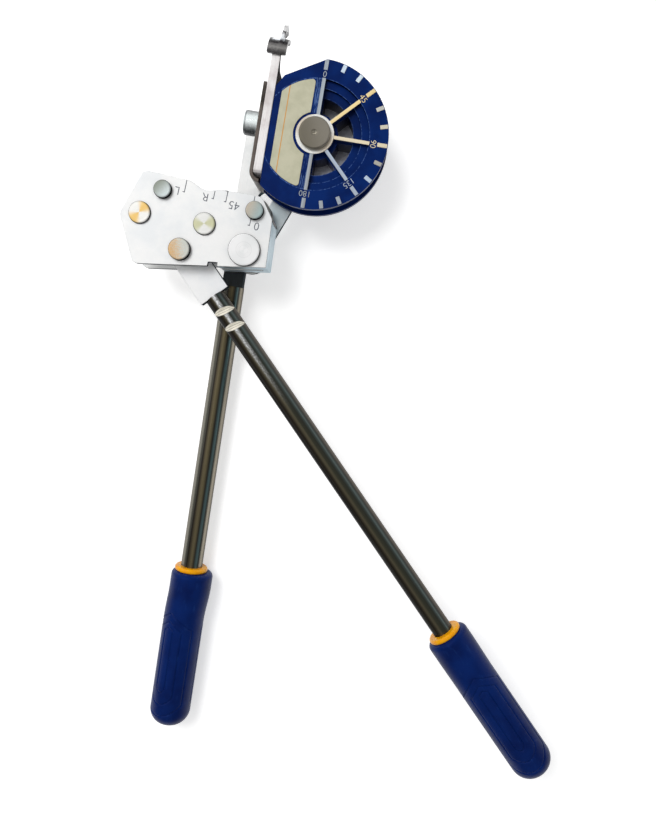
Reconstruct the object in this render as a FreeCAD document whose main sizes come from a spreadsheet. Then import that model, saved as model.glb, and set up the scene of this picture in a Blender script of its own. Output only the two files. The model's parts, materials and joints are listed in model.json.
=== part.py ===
"""Lever tube bender, modelled in millimetres.

The form wheel's axis is the middle of the design: +X runs across the wheel to the dial's side,
+Y runs along the fixed handle from its grip to the wheel, and +Z rises from the bench through
the dial. A swinging arm carries the link, the link carries two rollers and the lever, and a
strap latch on the wheel's flat holds the tube that is bent.
"""
import FreeCAD, Part
import math
import os

import Sketcher
from FreeCAD import Placement, Rotation, Vector

SIZES = [
    # The tube that is bent
    ("tube_size", 12.7, "outer diameter of the tube that is bent"),
    ("bend_radius", 38.1, "radius of the bend at the tube's middle"),
    ("groove_gap", 0.15, "play between the tube and a groove, to each side"),
    # Running fits
    ("running_gap", 0.05, "radial play of a part that turns on a pin"),
    ("seat_gap", 0.02, "radial play of a pin in a hole of its own body"),
    ("side_gap", 0.3, "play between flat faces that pass each other"),
    # Form wheel
    ("rim_lip", 0.9, "rim of the wheel beyond the tube's middle"),
    ("wheel_thickness", 19.0, "width of the form wheel along its axis"),
    ("wheel_flat", 24.5, "distance from the axis to the flat side"),
    ("flat_top", 21.5, "upper end of the flat side"),
    ("shoulder_across", 20.8, "corner above the flat, across"),
    ("shoulder_up", 27.5, "corner above the flat, up"),
    ("recess_edge", 10.1, "rim of the wheel round the dial's recess"),
    ("recess_depth", 2.2, "depth of the dial's recess"),
    ("step_edge", 4.2, "ledge round the recess's lower step"),
    ("step_depth", 4.0, "depth of the lower step"),
    ("window_edge", 4.3, "floor between the lower step's edge and the windows"),
    ("window_inner", 12.2, "inner edge of the four windows"),
    ("window_margin", 2.6, "wall between a window and a rib's middle line"),
    ("rib_width", 1.8, "width of the dial's ribs"),
    ("rib_overlap", 0.3, "how far the ribs reach over the recess's edge"),
    ("rib_rise", 0.35, "height of the ribs above the wheel's face"),
    # Label
    ("label_edge", 0.5, "from the recess's edge to the label"),
    ("label_margin", 3.6, "from the flat to the label"),
    ("label_right", 4.1, "label's straight edge beside the ribs"),
    ("label_hub", 1.4, "from the washer to the label's cut-out"),
    ("label_thickness", 0.3, "thickness of the label"),
    ("label_round", 1.6, "rounding of the label's corners"),
    # Wheel axle and its stack of washers
    ("axle_radius", 6.0, "shank of the wheel's axle"),
    ("axle_cap_radius", 8.4, "cap of the axle"),
    ("axle_cap_height", 3.0, "height of the cap"),
    ("cap_edge", 0.6, "bevel of the cap's edge"),
    ("dimple_radius", 1.6, "turned dimple in the cap"),
    ("dimple_depth", 1.2, "depth of the dimple"),
    ("hub_washer_radius", 10.2, "washer under the axle's cap"),
    ("hub_washer_thickness", 0.8, "thickness of that washer"),
    ("spacer_overlap", 0.6, "how far the spacer under the wheel reaches past the windows"),
    ("arm_washer_radius", 10.0, "washer between the arm and the handle bar"),
    ("arm_washer_thickness", 0.5, "washer between the arm and the handle bar"),
    ("nut_width", 19.0, "nut under the axle, across its flats"),
    # Swinging arm
    ("arm_angle", 21.9, "arm beyond the 180 mark, in degrees"),
    ("arm_thickness", 4.0, "thickness of the arm"),
    ("arm_width", 12.0, "width of the arm's waist"),
    ("arm_hub_radius", 11.5, "eye of the arm at the wheel"),
    ("arm_eye_radius", 9.5, "eye of the arm at the link"),
    ("arm_blend", 6.0, "rounding where the waist meets the eyes"),
    ("arm_room", 1.8, "washer between the link and the arm"),
    # Handle bar and side plate
    ("bar_across", 35.5, "from the wheel's axis to the handle's axis"),
    ("bar_width", 12.0, "width of the handle bar"),
    ("bar_thickness", 6.0, "thickness of the handle bar"),
    ("bar_top", 9.0, "upper end of the handle bar"),
    ("bar_corner", 4.0, "bevel at the bar's upper corner"),
    ("bar_foot", 84.0, "where the handle's tube starts"),
    ("lobe_radius", 13.0, "bar's lobe round the axle"),
    ("web_thickness", 1.8, "side plate's thickness"),
    ("web_top", 20.0, "upper end of the side plate"),
    ("web_bend", 26.5, "where the side plate starts to curl"),
    ("web_curl", 4.0, "inside radius of the curl"),
    ("web_height", 8.0, "top of the side plate above the wheel's mid-plane"),
    # Latch
    ("strap_thickness", 4.7, "thickness of the latch strap"),
    ("strap_tail", 18.4, "middle of the strap's round tail"),
    ("strap_tail_radius", 6.0, "radius of the strap's tail"),
    ("strap_taper", 8.0, "where the tail starts to narrow"),
    ("jaw_wall", 2.2, "wall of the hook round the tube"),
    ("jaw_reach", 2.0, "how far the hook reaches past the tube's middle"),
    ("saddle_wall", 1.8, "wall of the saddle on the hook"),
    ("saddle_length", 10.2, "saddle's length along the tube"),
    ("saddle_lip", 3.0, "how far the saddle reaches back over the strap"),
    ("tab_reach", 15.9, "tip of the thumb tab beyond the tube's middle"),
    ("tab_thickness", 2.0, "thickness of the thumb tab"),
    ("tab_low", 2.6, "lower edge of the thumb tab above the mid-plane"),
    ("screw_up", 3.0, "latch screw's place along the flat"),
    ("screw_radius", 4.0, "thread of the latch screw"),
    ("screw_shoulder", 5.0, "shoulder that the latch turns on"),
    ("screw_depth", 12.0, "thread in the wheel"),
    ("screw_head_radius", 6.5, "head of the latch screw"),
    ("screw_head_height", 8.0, "height of the head"),
    ("screw_key", 6.0, "key width of the head's socket"),
    ("screw_key_depth", 4.0, "depth of the socket"),
    # Link
    ("link_tilt", 3.3, "link's lean at rest, in degrees"),
    ("link_gap", 17.0, "space between the link's two walls"),
    ("link_wall", 3.0, "sheet thickness of the link"),
    ("link_left_edge", 10.9, "link's left corner beyond the rear rivet"),
    ("link_left_up", 4.5, "link's left corner, up"),
    ("link_top_end", 12.5, "upper left corner beyond the far roller"),
    ("link_top_edge", 8.1, "upper edge above the rollers' centres"),
    ("dip_start", 36.0, "where the upper edge's dip starts"),
    ("dip_middle", 27.5, "lowest point of the dip, across"),
    ("dip_end", 19.5, "where the dip ends"),
    ("dip_depth", 3.7, "depth of the dip"),
    ("dip_step", 1.0, "how much lower the edge is at the dip's end"),
    ("link_nose", 3.0, "upper right corner, across"),
    ("link_shoulder", 11.0, "right edge's upper end, across"),
    ("link_shoulder_up", 19.0, "right edge's upper end, up"),
    ("link_right", 13.2, "lower right corner, across"),
    ("link_low", 6.5, "lower right corner, down"),
    ("link_foot", 57.5, "lower left corner, across"),
    ("link_foot_low", 20.2, "lower left corner, down"),
    ("link_round", 4.0, "rounding of the link's corners"),
    ("link_soft", 8.0, "rounding of the dip"),
    ("end_wall_top", 17.5, "upper end of the folded end wall"),
    ("lip_gap", 4.0, "space between the two folded lips"),
    ("lip_end", 12.6, "left end of the lips, across"),
    ("notch_end", 17.8, "left end of the relief notch"),
    ("notch_depth", 2.1, "depth of the relief notch"),
    # Rollers and pins of the link
    ("roller_line", 21.3, "rollers' centres above the link's pivot"),
    ("roller_to_tube", 11.8, "from a roller's centre to the middle of the tube on it"),
    ("near_roller_across", 1.0, "near roller, across to the right"),
    ("far_roller_across", 49.3, "far roller, across to the left"),
    ("roller_radius", 7.6, "outside of a roller"),
    ("roller_side_gap", 0.2, "play of a roller between the link's walls"),
    ("roller_pin_radius", 3.5, "shank of a roller's pin"),
    ("roller_head_radius", 4.8, "head of a roller's pin"),
    ("roller_head_height", 3.0, "height of that head"),
    ("rear_across", 59.1, "rear rivet, across to the left"),
    ("rear_up", 6.9, "rear rivet, up"),
    ("stop_across", 23.84, "stop rivet, across to the left"),
    ("stop_up", 8.74, "stop rivet, up"),
    ("rivet_radius", 4.0, "shank of the rear and stop rivets"),
    ("rivet_head_radius", 6.0, "head of those rivets"),
    ("rivet_head_height", 1.6, "height of those heads"),
    ("rivet_tail_radius", 5.0, "closed end of the rivets behind the link"),
    ("rivet_tail_height", 0.8, "height of the closed end"),
    ("sleeve_radius", 6.2, "spacer sleeves on those rivets"),
    ("lever_pin_across", 33.83, "lever's pivot, across to the left"),
    ("lever_pin_down", 7.36, "lever's pivot, down"),
    ("lever_pin_radius", 4.5, "shank of the lever's pivot"),
    ("lever_pin_head_radius", 5.9, "head of the lever's pivot"),
    ("lever_pin_head_height", 3.2, "height of that head"),
    ("lever_spacer_radius", 7.5, "spacers beside the lever"),
    ("link_pin_radius", 4.5, "shank of the link's pivot"),
    ("link_pin_head_radius", 8.6, "head of the link's pivot"),
    ("link_pin_head_height", 2.4, "height of that head"),
    ("link_pin_flare", 1.5, "flare of the pivot's closed end in the arm"),
    ("head_edge", 0.5, "bevel on the heads of pins and rivets"),
    # Lever blade
    ("lever_angle", 44.2, "lever's lean from the fixed handle, in degrees"),
    ("blade_right", 9.2, "blade's edge to the right of its pivot"),
    ("blade_left", 8.6, "blade's edge to the left of its pivot"),
    ("blade_thickness", 6.0, "thickness of the blade"),
    ("blade_shoulder", 29.0, "from the pivot to the tube's mouth"),
    ("blade_crown", 9.0, "blade's upper left corner"),
    ("hook_tip", 25.0, "tip of the blade's hook over the stop rivet"),
    ("hook_height", 6.2, "height of that hook"),
    ("hook_travel", 6.0, "lever's travel until the hook meets the stop, in degrees"),
    ("blade_round", 3.0, "rounding of the blade's corners"),
    # Handles
    ("tang_length", 46.0, "tang of a bar or blade inside its tube"),
    ("handle_tube_radius", 5.75, "outside of a handle's tube"),
    ("handle_tube_wall", 1.25, "wall of a handle's tube"),
    ("crimp_first", 10.0, "first crimp from the tube's mouth"),
    ("crimp_pitch", 10.0, "from one crimp to the next"),
    ("crimp_depth", 0.9, "depth of a crimp"),
    ("crimp_radius", 2.6, "radius of the crimping tool"),
    ("lever_grip_start", 258.0, "lever's grip from the lever's pivot"),
    ("handle_grip_start", 255.2, "fixed handle's grip from the wheel's axle"),
    ("collar_width", 5.4, "width of the collar ring along the tube"),
    ("collar_radius", 9.65, "outside of the collar ring"),
    ("collar_bevel", 1.4, "bevel of the collar ring"),
    ("grip_length", 95.0, "length of a grip"),
    ("grip_radius", 11.9, "radius of a grip"),
    ("waist_place", 30.0, "the waist's distance from the grip's mouth"),
    ("grip_mouth_round", 2.6, "rounding of the grip's mouth"),
    ("grip_dome", 9.6, "rounding of the grip's end"),
    ("swell_radius", 12.2, "radius of the swell near the grip's mouth"),
    ("swell_place", 9.0, "the swell's widest place from the mouth"),
    ("swell_shift", 1.1, "how far the swell stands out to one side"),
    ("grip_bore_end", 14.0, "solid end of the grip beyond the tube"),
]

doc = FreeCAD.newDocument("tube_bender")
sheet = doc.addObject("Spreadsheet::Sheet", "Sizes")
for row, (alias, number, meaning) in enumerate(SIZES, start=1):
    sheet.set(f"A{row}", alias)
    sheet.set(f"B{row}", str(number))
    sheet.setAlias(f"B{row}", alias)
    sheet.set(f"C{row}", meaning)
doc.recompute()


class Size:
    """A length or an angle that knows its number and its formula over the sheet."""

    def __init__(self, number, text):
        self.number = number
        self.text = text

    def __add__(self, other):
        other = sized(other)
        return Size(self.number + other.number, f"({self.text} + {other.text})")

    def __sub__(self, other):
        other = sized(other)
        return Size(self.number - other.number, f"({self.text} - {other.text})")

    def __mul__(self, other):
        other = sized(other)
        return Size(self.number * other.number, f"({self.text} * {other.text})")

    def __truediv__(self, other):
        other = sized(other)
        return Size(self.number / other.number, f"({self.text} / {other.text})")

    def __neg__(self):
        return Size(-self.number, f"(-1 * {self.text})")


def sized(amount):
    """Give a plain number the form of a Size."""
    return amount if isinstance(amount, Size) else Size(float(amount), repr(float(amount)))


def root(amount):
    return Size(math.sqrt(amount.number), f"sqrt({amount.text})")


def sine(angle):
    return Size(math.sin(math.radians(angle.number)), f"sin({angle.text})")


def cosine(angle):
    return Size(math.cos(math.radians(angle.number)), f"cos({angle.text})")


def cell(name):
    """Read one driving dimension from the sheet."""
    return Size(float(sheet.get(name)), f"Sizes.{name}")


class Line:
    """A straight step of an outline, to the point (x, y)."""

    def __init__(self, x, y):
        self.x = sized(x)
        self.y = sized(y)


class Arc(Line):
    """A round step of an outline, to (x, y) about a centre, counter-clockwise or clockwise."""

    def __init__(self, x, y, centre, clockwise=False):
        super().__init__(x, y)
        self.centre = [sized(part) for part in centre]
        self.clockwise = clockwise


def bind(target, name, amount):
    """Drive one property of a feature from the sheet."""
    target.setExpression(name, sized(amount).text)


def new_body(label):
    body = doc.addObject("PartDesign::Body", label)
    body.Label = label
    return body


def new_sketch(body, plane="XY_Plane", lift=None):
    """Start a sketch on one of the body's own planes, or lifted off it along its normal."""
    sketch = body.newObject("Sketcher::SketchObject", f"{body.Name}_sketch")
    support = next(part for part in body.Origin.OriginFeatures if part.Role == plane)
    sketch.AttachmentSupport = [(support, "")]
    sketch.MapMode = "FlatFace"
    if lift is not None:
        bind(sketch, "AttachmentOffset.Base.z", lift)
    return sketch


def hold(sketch, kind, amount, *where):
    """Add a constraint whose value comes from the sheet."""
    index = sketch.addConstraint(Sketcher.Constraint(kind, *where, amount.number))
    bind(sketch, f"Constraints[{index}]", amount)


def hold_point(sketch, geometry, end, **spot):
    """Fix one point of a sketch from the origin, in x, in y or in both."""
    for name, kind, axis in (("x", "DistanceX", -2), ("y", "DistanceY", -1)):
        if name not in spot:
            continue
        amount = sized(spot[name])
        if amount.number == 0:
            sketch.addConstraint(Sketcher.Constraint("PointOnObject", geometry, end, axis))
        else:
            hold(sketch, kind, amount, -1, 1, geometry, end)


def draw_arc(sketch, begin, finish, step):
    """Draw a round step and say which of its ends it starts and stops at."""
    centre = Vector(step.centre[0].number, step.centre[1].number, 0)
    first, last = (finish, begin) if step.clockwise else (begin, finish)
    angles = [math.atan2(end.y - centre.y, end.x - centre.x) for end in (first, last)]
    circle = Part.Circle(centre, Vector(0, 0, 1), (finish - centre).Length)
    geometry = sketch.addGeometry(Part.ArcOfCircle(circle, *angles))
    return (geometry, 2, 1) if step.clockwise else (geometry, 1, 2)


def draw_outline(sketch, steps):
    """Draw a closed outline of straight and round steps, fixed at each of its corners."""
    drawn = []
    start = steps[-1]
    for step in steps:
        begin = Vector(start.x.number, start.y.number, 0)
        finish = Vector(step.x.number, step.y.number, 0)
        if isinstance(step, Arc):
            drawn.append(draw_arc(sketch, begin, finish, step))
        else:
            drawn.append((sketch.addGeometry(Part.LineSegment(begin, finish)), 1, 2))
        start = step
    for place, (geometry, _, tail) in enumerate(drawn):
        following, head, _ = drawn[(place + 1) % len(drawn)]
        sketch.addConstraint(Sketcher.Constraint("Coincident", geometry, tail, following, head))
    start = steps[-1]
    for step, (geometry, _, tail) in zip(steps, drawn):
        hold_point(sketch, geometry, tail, x=step.x, y=step.y)
        if isinstance(step, Arc):
            across = abs(step.x.number - start.x.number)
            upward = abs(step.y.number - start.y.number)
            if upward > across:
                hold_point(sketch, geometry, 3, x=step.centre[0])
            else:
                hold_point(sketch, geometry, 3, y=step.centre[1])
        start = step


def draw_circle(sketch, radius, x=0, y=0):
    x, y = sized(x), sized(y)
    circle = Part.Circle(Vector(x.number, y.number, 0), Vector(0, 0, 1), radius.number)
    geometry = sketch.addGeometry(circle)
    hold_point(sketch, geometry, 3, x=x, y=y)
    hold(sketch, "Radius", radius, geometry)


def draw_hexagon(sketch, width):
    """Draw a hexagon about the origin by its width across flats."""
    reach = width / root(sized(3))
    half = width / 2
    corners = [(reach, 0), (reach / 2, half), (-reach / 2, half)]
    corners += [(-reach, 0), (-reach / 2, -half), (reach / 2, -half)]
    draw_outline(sketch, [Line(x, y) for x, y in corners])


def extend(body, kind, sketch, depth=None, both_ways=False, backwards=False):
    """Pad or pocket a sketch by a depth, or through everything when no depth is given."""
    feature = body.newObject(f"PartDesign::{kind}", f"{body.Name}_{kind.lower()}")
    feature.Profile = (sketch, [""])
    feature.SideType = "Symmetric" if both_ways else "One side"
    feature.Reversed = backwards
    if depth is None:
        feature.Type = "ThroughAll"
    else:
        bind(feature, "Length", depth)
    return feature


def pad(body, sketch, depth, **ways):
    return extend(body, "Pad", sketch, depth, **ways)


def pocket(body, sketch, depth=None, **ways):
    return extend(body, "Pocket", sketch, depth, **ways)


def spin(body, sketch, kind="Revolution"):
    """Turn a sketch round its own upright axis."""
    feature = body.newObject(f"PartDesign::{kind}", f"{body.Name}_{kind.lower()}")
    feature.Profile = (sketch, [""])
    feature.ReferenceAxis = (sketch, ["V_Axis"])
    feature.Angle = 360
    return feature


def repeat_round(body, feature, count, sweep):
    """Repeat a feature round the body's Z axis."""
    pattern = body.newObject("PartDesign::PolarPattern", f"{body.Name}_pattern")
    pattern.Originals = [feature]
    axis = next(part for part in body.Origin.OriginFeatures if part.Role == "Z_Axis")
    pattern.Axis = (axis, [""])
    pattern.Angle = sweep
    pattern.Occurrences = count
    pattern.Reversed = True
    body.Tip = pattern
    return pattern


def soften(body, kind, amount, wanted):
    """Round or bevel the edges of a body that a test picks."""
    doc.recompute()
    base = body.Tip
    names = [f"Edge{place}" for place, edge in enumerate(base.Shape.Edges, start=1) if wanted(edge)]
    feature = body.newObject(f"PartDesign::{kind}", f"{body.Name}_{kind.lower()}")
    feature.Base = (base, names)
    bind(feature, "Radius" if kind == "Fillet" else "Size", amount)
    return feature


def stands_at(places):
    """Pick the upright edges that stand at the given points."""

    def wanted(edge):
        ends = [vertex.Point for vertex in edge.Vertexes]
        if len(ends) != 2 or ends[0].sub(ends[1]).Length < 1e-6:
            return False
        level = ends[0].sub(ends[1])
        if abs(level.x) > 1e-4 or abs(level.y) > 1e-4:
            return False
        return any(math.hypot(ends[0].x - sized(x).number, ends[0].y - sized(y).number) < 0.01
                   for x, y in places)

    return wanted


def turned(label, corners, plane="XZ_Plane"):
    """Make a turned piece from its half profile, as (radius, level) corners or steps."""
    body = new_body(label)
    sketch = new_sketch(body, plane)
    draw_outline(sketch, [step if isinstance(step, Line) else Line(*step) for step in corners])
    spin(body, sketch)
    return body


def cut_groove(body, middle, sides):
    """Turn the tube's groove into a rim: a ring of narrow flats round the tube's circle."""
    corner = math.pi / sides
    reach = groove_radius / math.cos(corner)
    groove = new_sketch(body, "XZ_Plane")
    turns = [corner * (2 * side + 1) for side in range(sides)]
    draw_outline(groove, [
        Line(middle + reach * math.cos(turn), reach * math.sin(turn)) for turn in turns])
    spin(body, groove, "Groove")


def washer(label, outer, inner, low, high):
    return turned(label, [(inner, low), (outer, low), (outer, high), (inner, high)])


def headed_pin(label, shank, head, height, seat, low, tail=None):
    """Make a pin with a bevelled head above a seat, and a wider closed end where one is given."""
    bevel = cell("head_edge")
    profile = [(0, seat + height), (0, low)]
    if tail is not None:
        radius, thickness = tail
        profile[1] = (0, low - thickness)
        profile += [(radius, low - thickness), (radius, low)]
    profile += [(shank, low), (shank, seat), (head, seat)]
    profile += [(head, seat + height - bevel), (head - bevel, seat + height)]
    return turned(label, profile)


def cylinder(name, radius, height, place=None):
    """Make a plain cylinder along +Z, or along the way that its place turns it."""
    made = doc.addObject("Part::Cylinder", name)
    bind(made, "Radius", radius)
    bind(made, "Height", height)
    if place is not None:
        made.Placement = place
    return made


def joined(kind, label, base, tool):
    """Cut, fuse or intersect two solids."""
    made = doc.addObject(f"Part::{kind}", label)
    made.Label = label
    made.Base = base
    made.Tool = tool
    return made


def along(x, y, z, axis=(0, 0, 1), degrees=0.0):
    """Give the place at a point, turned about an axis."""
    spot = Vector(*(sized(part).number for part in (x, y, z)))
    return Placement(spot, Rotation(Vector(*axis), degrees))


# Radii from the wheel's axis, and levels above the mid-plane of the tube that is bent
tube_radius = cell("tube_size") / 2
groove_radius = tube_radius + cell("groove_gap")
wheel_face = cell("wheel_thickness") / 2
rim_radius = cell("bend_radius") + cell("rim_lip")
recess_radius = rim_radius - cell("recess_edge")
step_radius = recess_radius - cell("step_edge")
arm_length = cell("bend_radius") + cell("roller_to_tube") + cell("roller_line")
link_inside = cell("link_gap") / 2
link_face = link_inside + cell("link_wall")
arm_upper = -(link_face + cell("arm_room"))
arm_lower = arm_upper - cell("arm_thickness")
bar_upper = arm_lower - cell("arm_washer_thickness")
bar_lower = bar_upper - cell("bar_thickness")
handle_level = bar_upper - cell("bar_thickness") / 2
mid_height = cell("swell_radius") - handle_level

# The moving groups' places: the wheel's axis, the arm, the link's pivot and the lever's pivot
wheel_frame = along(0, 0, mid_height)
arm_frame = wheel_frame * along(0, 0, 0, degrees=-cell("arm_angle").number)
link_frame = arm_frame * along(0, -arm_length, 0)
link_frame = Placement(link_frame.Base, Rotation(Vector(0, 0, 1), -cell("link_tilt").number))
lever_frame = link_frame * along(-cell("lever_pin_across"), -cell("lever_pin_down"), 0)
lever_frame = Placement(lever_frame.Base, Rotation(Vector(0, 0, 1), cell("lever_angle").number))
sub_parts = []


def stand(part, frame, x=0, y=0, z=0, axis=(0, 0, 1), degrees=0.0):
    """Put a finished sub-part in its place in the assembly."""
    part.Placement = frame * along(x, y, z, axis, degrees)
    sub_parts.append(part)


def make_form_wheel():
    """The cast form wheel: grooved rim, recessed dial and windows."""
    rim = rim_radius
    flat = cell("wheel_flat")
    foot = root(rim * rim - flat * flat)
    body = new_body("form_wheel")
    outline = new_sketch(body)
    draw_outline(outline, [
        Arc(0, rim, (0, 0)),
        Line(-cell("shoulder_across"), cell("shoulder_up")),
        Line(-flat, cell("flat_top")),
        Line(-flat, -foot),
    ])
    pad(body, outline, cell("wheel_thickness"), both_ways=True)
    cut_groove(body, cell("bend_radius"), 16)
    for reach, depth in ((recess_radius, "recess_depth"), (step_radius, "step_depth")):
        recess = new_sketch(body, lift=wheel_face)
        draw_outline(recess, [Arc(0, reach, (0, 0)), Line(0, -reach)])
        pocket(body, recess, cell(depth))

    window = new_sketch(body)
    margin = cell("window_margin") / 2
    inner, outer = cell("window_inner"), step_radius - cell("window_edge")
    inner_up = root(inner * inner - margin * margin)
    outer_up = root(outer * outer - margin * margin)
    eighth = sized(0.5)
    diagonal = root(eighth)
    draw_outline(window, [
        Arc(margin, outer_up, (0, 0)),
        Line(margin, inner_up),
        Arc((inner_up - margin) * diagonal, (inner_up + margin) * diagonal, (0, 0), True),
        Line((outer_up - margin) * diagonal, (outer_up + margin) * diagonal),
    ])
    opening = pocket(body, window, both_ways=True)
    repeat_round(body, opening, 4, 135)

    bore = new_sketch(body)
    draw_circle(bore, cell("axle_radius") + cell("seat_gap"))
    pocket(body, bore, both_ways=True)
    thread = new_sketch(body, "YZ_Plane", lift=-flat)
    draw_circle(thread, cell("screw_radius") + cell("seat_gap"), cell("screw_up"), 0)
    pocket(body, thread, cell("screw_depth"), backwards=True)
    stand(body, wheel_frame)


def make_dial_ribs():
    """The dial's five ribs on their boss round the axle, let into the wheel's recess."""
    hub, bore = cell("hub_washer_radius"), cell("axle_radius") + cell("seat_gap")
    half, rise = cell("rib_width") / 2, cell("rib_rise")
    body = new_body("dial_ribs")
    boss = new_sketch(body, lift=wheel_face)
    draw_circle(boss, hub)
    pad(body, boss, cell("step_depth"), backwards=True)
    raise_ribs(body, half, bore, step_radius, wheel_face, cell("step_depth"))
    raise_ribs(body, half, bore, recess_radius, wheel_face, cell("recess_depth"))
    ledge = new_sketch(body, lift=wheel_face)
    reach = recess_radius + 1
    draw_outline(ledge, [Arc(0, -reach, (0, 0)), Line(0, reach)])
    pocket(body, ledge, cell("step_depth"))
    raise_ribs(body, half, hub, recess_radius + cell("rib_overlap"), wheel_face + rise, rise)
    hole = new_sketch(body)
    draw_circle(hole, bore)
    pocket(body, hole, both_ways=True)
    stand(body, wheel_frame)


def raise_ribs(body, half, foot, tip, top, height):
    """Five straight ribs over half a turn, with round tips."""
    rib = new_sketch(body, lift=top)
    tip_up = root(tip * tip - half * half)
    draw_outline(rib, [
        Line(half, tip_up), Arc(-half, tip_up, (0, 0)), Line(-half, foot), Line(half, foot)])
    repeat_round(body, pad(body, rib, height, backwards=True), 5, 180)


def draw_label(sketch):
    """Draw the label's outline, a slice of a disc cut at the hub, and give its outer corners."""
    disc, hub = recess_radius - cell("label_edge"), cell("hub_washer_radius") + cell("label_hub")
    left, right = cell("wheel_flat") - cell("label_margin"), cell("label_right")
    left_up = root(disc * disc - left * left)
    right_up = root(disc * disc - right * right)
    hub_up = root(hub * hub - right * right)
    draw_outline(sketch, [
        Arc(-left, left_up, (0, 0)),
        Line(-left, -left_up),
        Arc(-right, -right_up, (0, 0)),
        Line(-right, -hub_up),
        Arc(-right, hub_up, (0, 0), True),
        Line(-right, right_up),
    ])
    return [(-across, up * side) for across, up in ((left, left_up), (right, right_up))
            for side in (1, -1)]


def make_dial_label():
    """The bare label on the wheel's face beside the dial."""
    body = new_body("dial_label")
    sketch = new_sketch(body, lift=wheel_face + cell("label_thickness"))
    corners = draw_label(sketch)
    pad(body, sketch, cell("label_thickness"), backwards=True)
    soften(body, "Fillet", cell("label_round"), stands_at(corners))
    stand(body, wheel_frame)


def make_axle_stack():
    """The wheel's axle with its cap and dimple, the washers on it and the nut below."""
    shank = cell("axle_radius")
    washer_top = wheel_face + cell("hub_washer_thickness")
    cap = washer_top + cell("axle_cap_height")
    cap_radius, bevel = cell("axle_cap_radius"), cell("cap_edge")
    axle = turned("wheel_axle", [
        (0, cap - cell("dimple_depth")), (0, -mid_height), (shank, -mid_height),
        (shank, washer_top), (cap_radius, washer_top), (cap_radius, cap - bevel),
        (cap_radius - bevel, cap), (cell("dimple_radius"), cap)])
    stand(axle, wheel_frame)
    bore = shank + cell("seat_gap")
    stand(washer("hub_washer", cell("hub_washer_radius"), bore, wheel_face, washer_top), wheel_frame)
    backing = step_radius - cell("window_edge") + cell("spacer_overlap")
    stand(washer("arm_spacer", backing, bore, arm_upper, -wheel_face), wheel_frame)
    outer = cell("arm_washer_radius")
    stand(washer("arm_washer", outer, bore, bar_upper, arm_lower), wheel_frame)

    nut = new_body("axle_nut")
    sketch = new_sketch(nut, lift=-mid_height)
    draw_hexagon(sketch, cell("nut_width"))
    draw_circle(sketch, bore)
    pad(nut, sketch, mid_height + bar_lower)
    stand(nut, wheel_frame)


def make_swing_arm():
    """The flat arm between the wheel's axle and the link's pivot."""
    body = new_body("swing_arm")
    length, half = arm_length, cell("arm_width") / 2
    hub, eye = cell("arm_hub_radius"), cell("arm_eye_radius")
    for radius, y in ((hub, sized(0)), (eye, -length)):
        sketch = new_sketch(body, lift=arm_lower)
        draw_circle(sketch, radius, 0, y)
        pad(body, sketch, cell("arm_thickness"))
    waist = new_sketch(body, lift=arm_lower)
    draw_outline(waist, [Line(half, 0), Line(-half, 0), Line(-half, -length), Line(half, -length)])
    pad(body, waist, cell("arm_thickness"))
    hub_rise = root(hub * hub - half * half)
    eye_rise = root(eye * eye - half * half) - length
    inner = [(side, rise) for side in (half, -half) for rise in (-hub_rise, eye_rise)]
    soften(body, "Fillet", cell("arm_blend"), stands_at(inner))
    bores = new_sketch(body)
    draw_circle(bores, cell("axle_radius") + cell("running_gap"))
    draw_circle(bores, cell("link_pin_radius") + cell("running_gap"), 0, -length)
    pocket(body, bores, both_ways=True)
    flare = cell("link_pin_flare")
    sink = doc.addObject("Part::Cone", "arm_countersink")
    bind(sink, "Radius1", cell("link_pin_radius") + flare + cell("side_gap"))
    bind(sink, "Radius2", cell("link_pin_radius") + cell("side_gap"))
    bind(sink, "Height", flare)
    sink.Placement = along(0, -length, arm_lower)
    body.Label = "swing_arm_blank"
    stand(joined("Cut", "swing_arm", body, sink), arm_frame)


def make_handle_bar():
    """The fixed handle's flat bar: a lobe round the axle, the bar itself and its round tang."""
    axis, half = cell("bar_across"), cell("bar_width") / 2
    left, right = axis + half, axis - half
    top, corner, foot = cell("bar_top"), cell("bar_corner"), cell("bar_foot")
    lobe = cell("lobe_radius")
    body = new_body("handle_bar")
    outline = new_sketch(body, lift=bar_lower)
    draw_outline(outline, [
        Line(-left, -foot),
        Line(-right, -foot),
        Line(-right, -right),
        Line(0, -lobe),
        Arc(0, lobe, (0, 0)),
        Line(-left + corner, top),
        Line(-left, top - corner),
    ])
    pad(body, outline, cell("bar_thickness"))
    soften(body, "Fillet", cell("arm_blend"), stands_at([(-right, -right)]))
    bore = new_sketch(body, lift=bar_lower)
    draw_circle(bore, cell("axle_radius") + cell("seat_gap"))
    pocket(body, bore, both_ways=True)
    tang = new_sketch(body, "XZ_Plane", lift=foot)
    draw_circle(tang, tang_radius(), -axis, handle_level)
    pad(body, tang, cell("tang_length"))
    stand(body, wheel_frame)


def make_side_plate():
    """The pressed plate that stands on the bar beside the latch and curls round the wheel."""
    inner = strap_outside() + cell("side_gap")
    outer = inner + cell("web_thickness")
    bend, curl = cell("web_bend"), cell("web_curl")
    around = curl + cell("web_thickness")
    middle = inner - curl
    body = new_body("side_plate")
    outline = new_sketch(body, lift=bar_upper)
    draw_outline(outline, [
        Line(-outer, cell("web_top")),
        Line(-outer, -bend),
        Arc(-middle, -(bend + around), (-middle, -bend)),
        Line(-middle, -(bend + curl)),
        Arc(-inner, -bend, (-middle, -bend), True),
        Line(-inner, cell("web_top")),
    ])
    pad(body, outline, cell("web_height") - bar_upper)
    hole = new_sketch(body, "YZ_Plane")
    draw_circle(hole, cell("screw_shoulder") + cell("seat_gap"), cell("screw_up"), 0)
    pocket(body, hole, both_ways=True)
    stand(body, wheel_frame)


def strap_inside():
    """Distance from the wheel's axis to the latch strap's inner face."""
    return cell("wheel_flat") + cell("side_gap")


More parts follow.
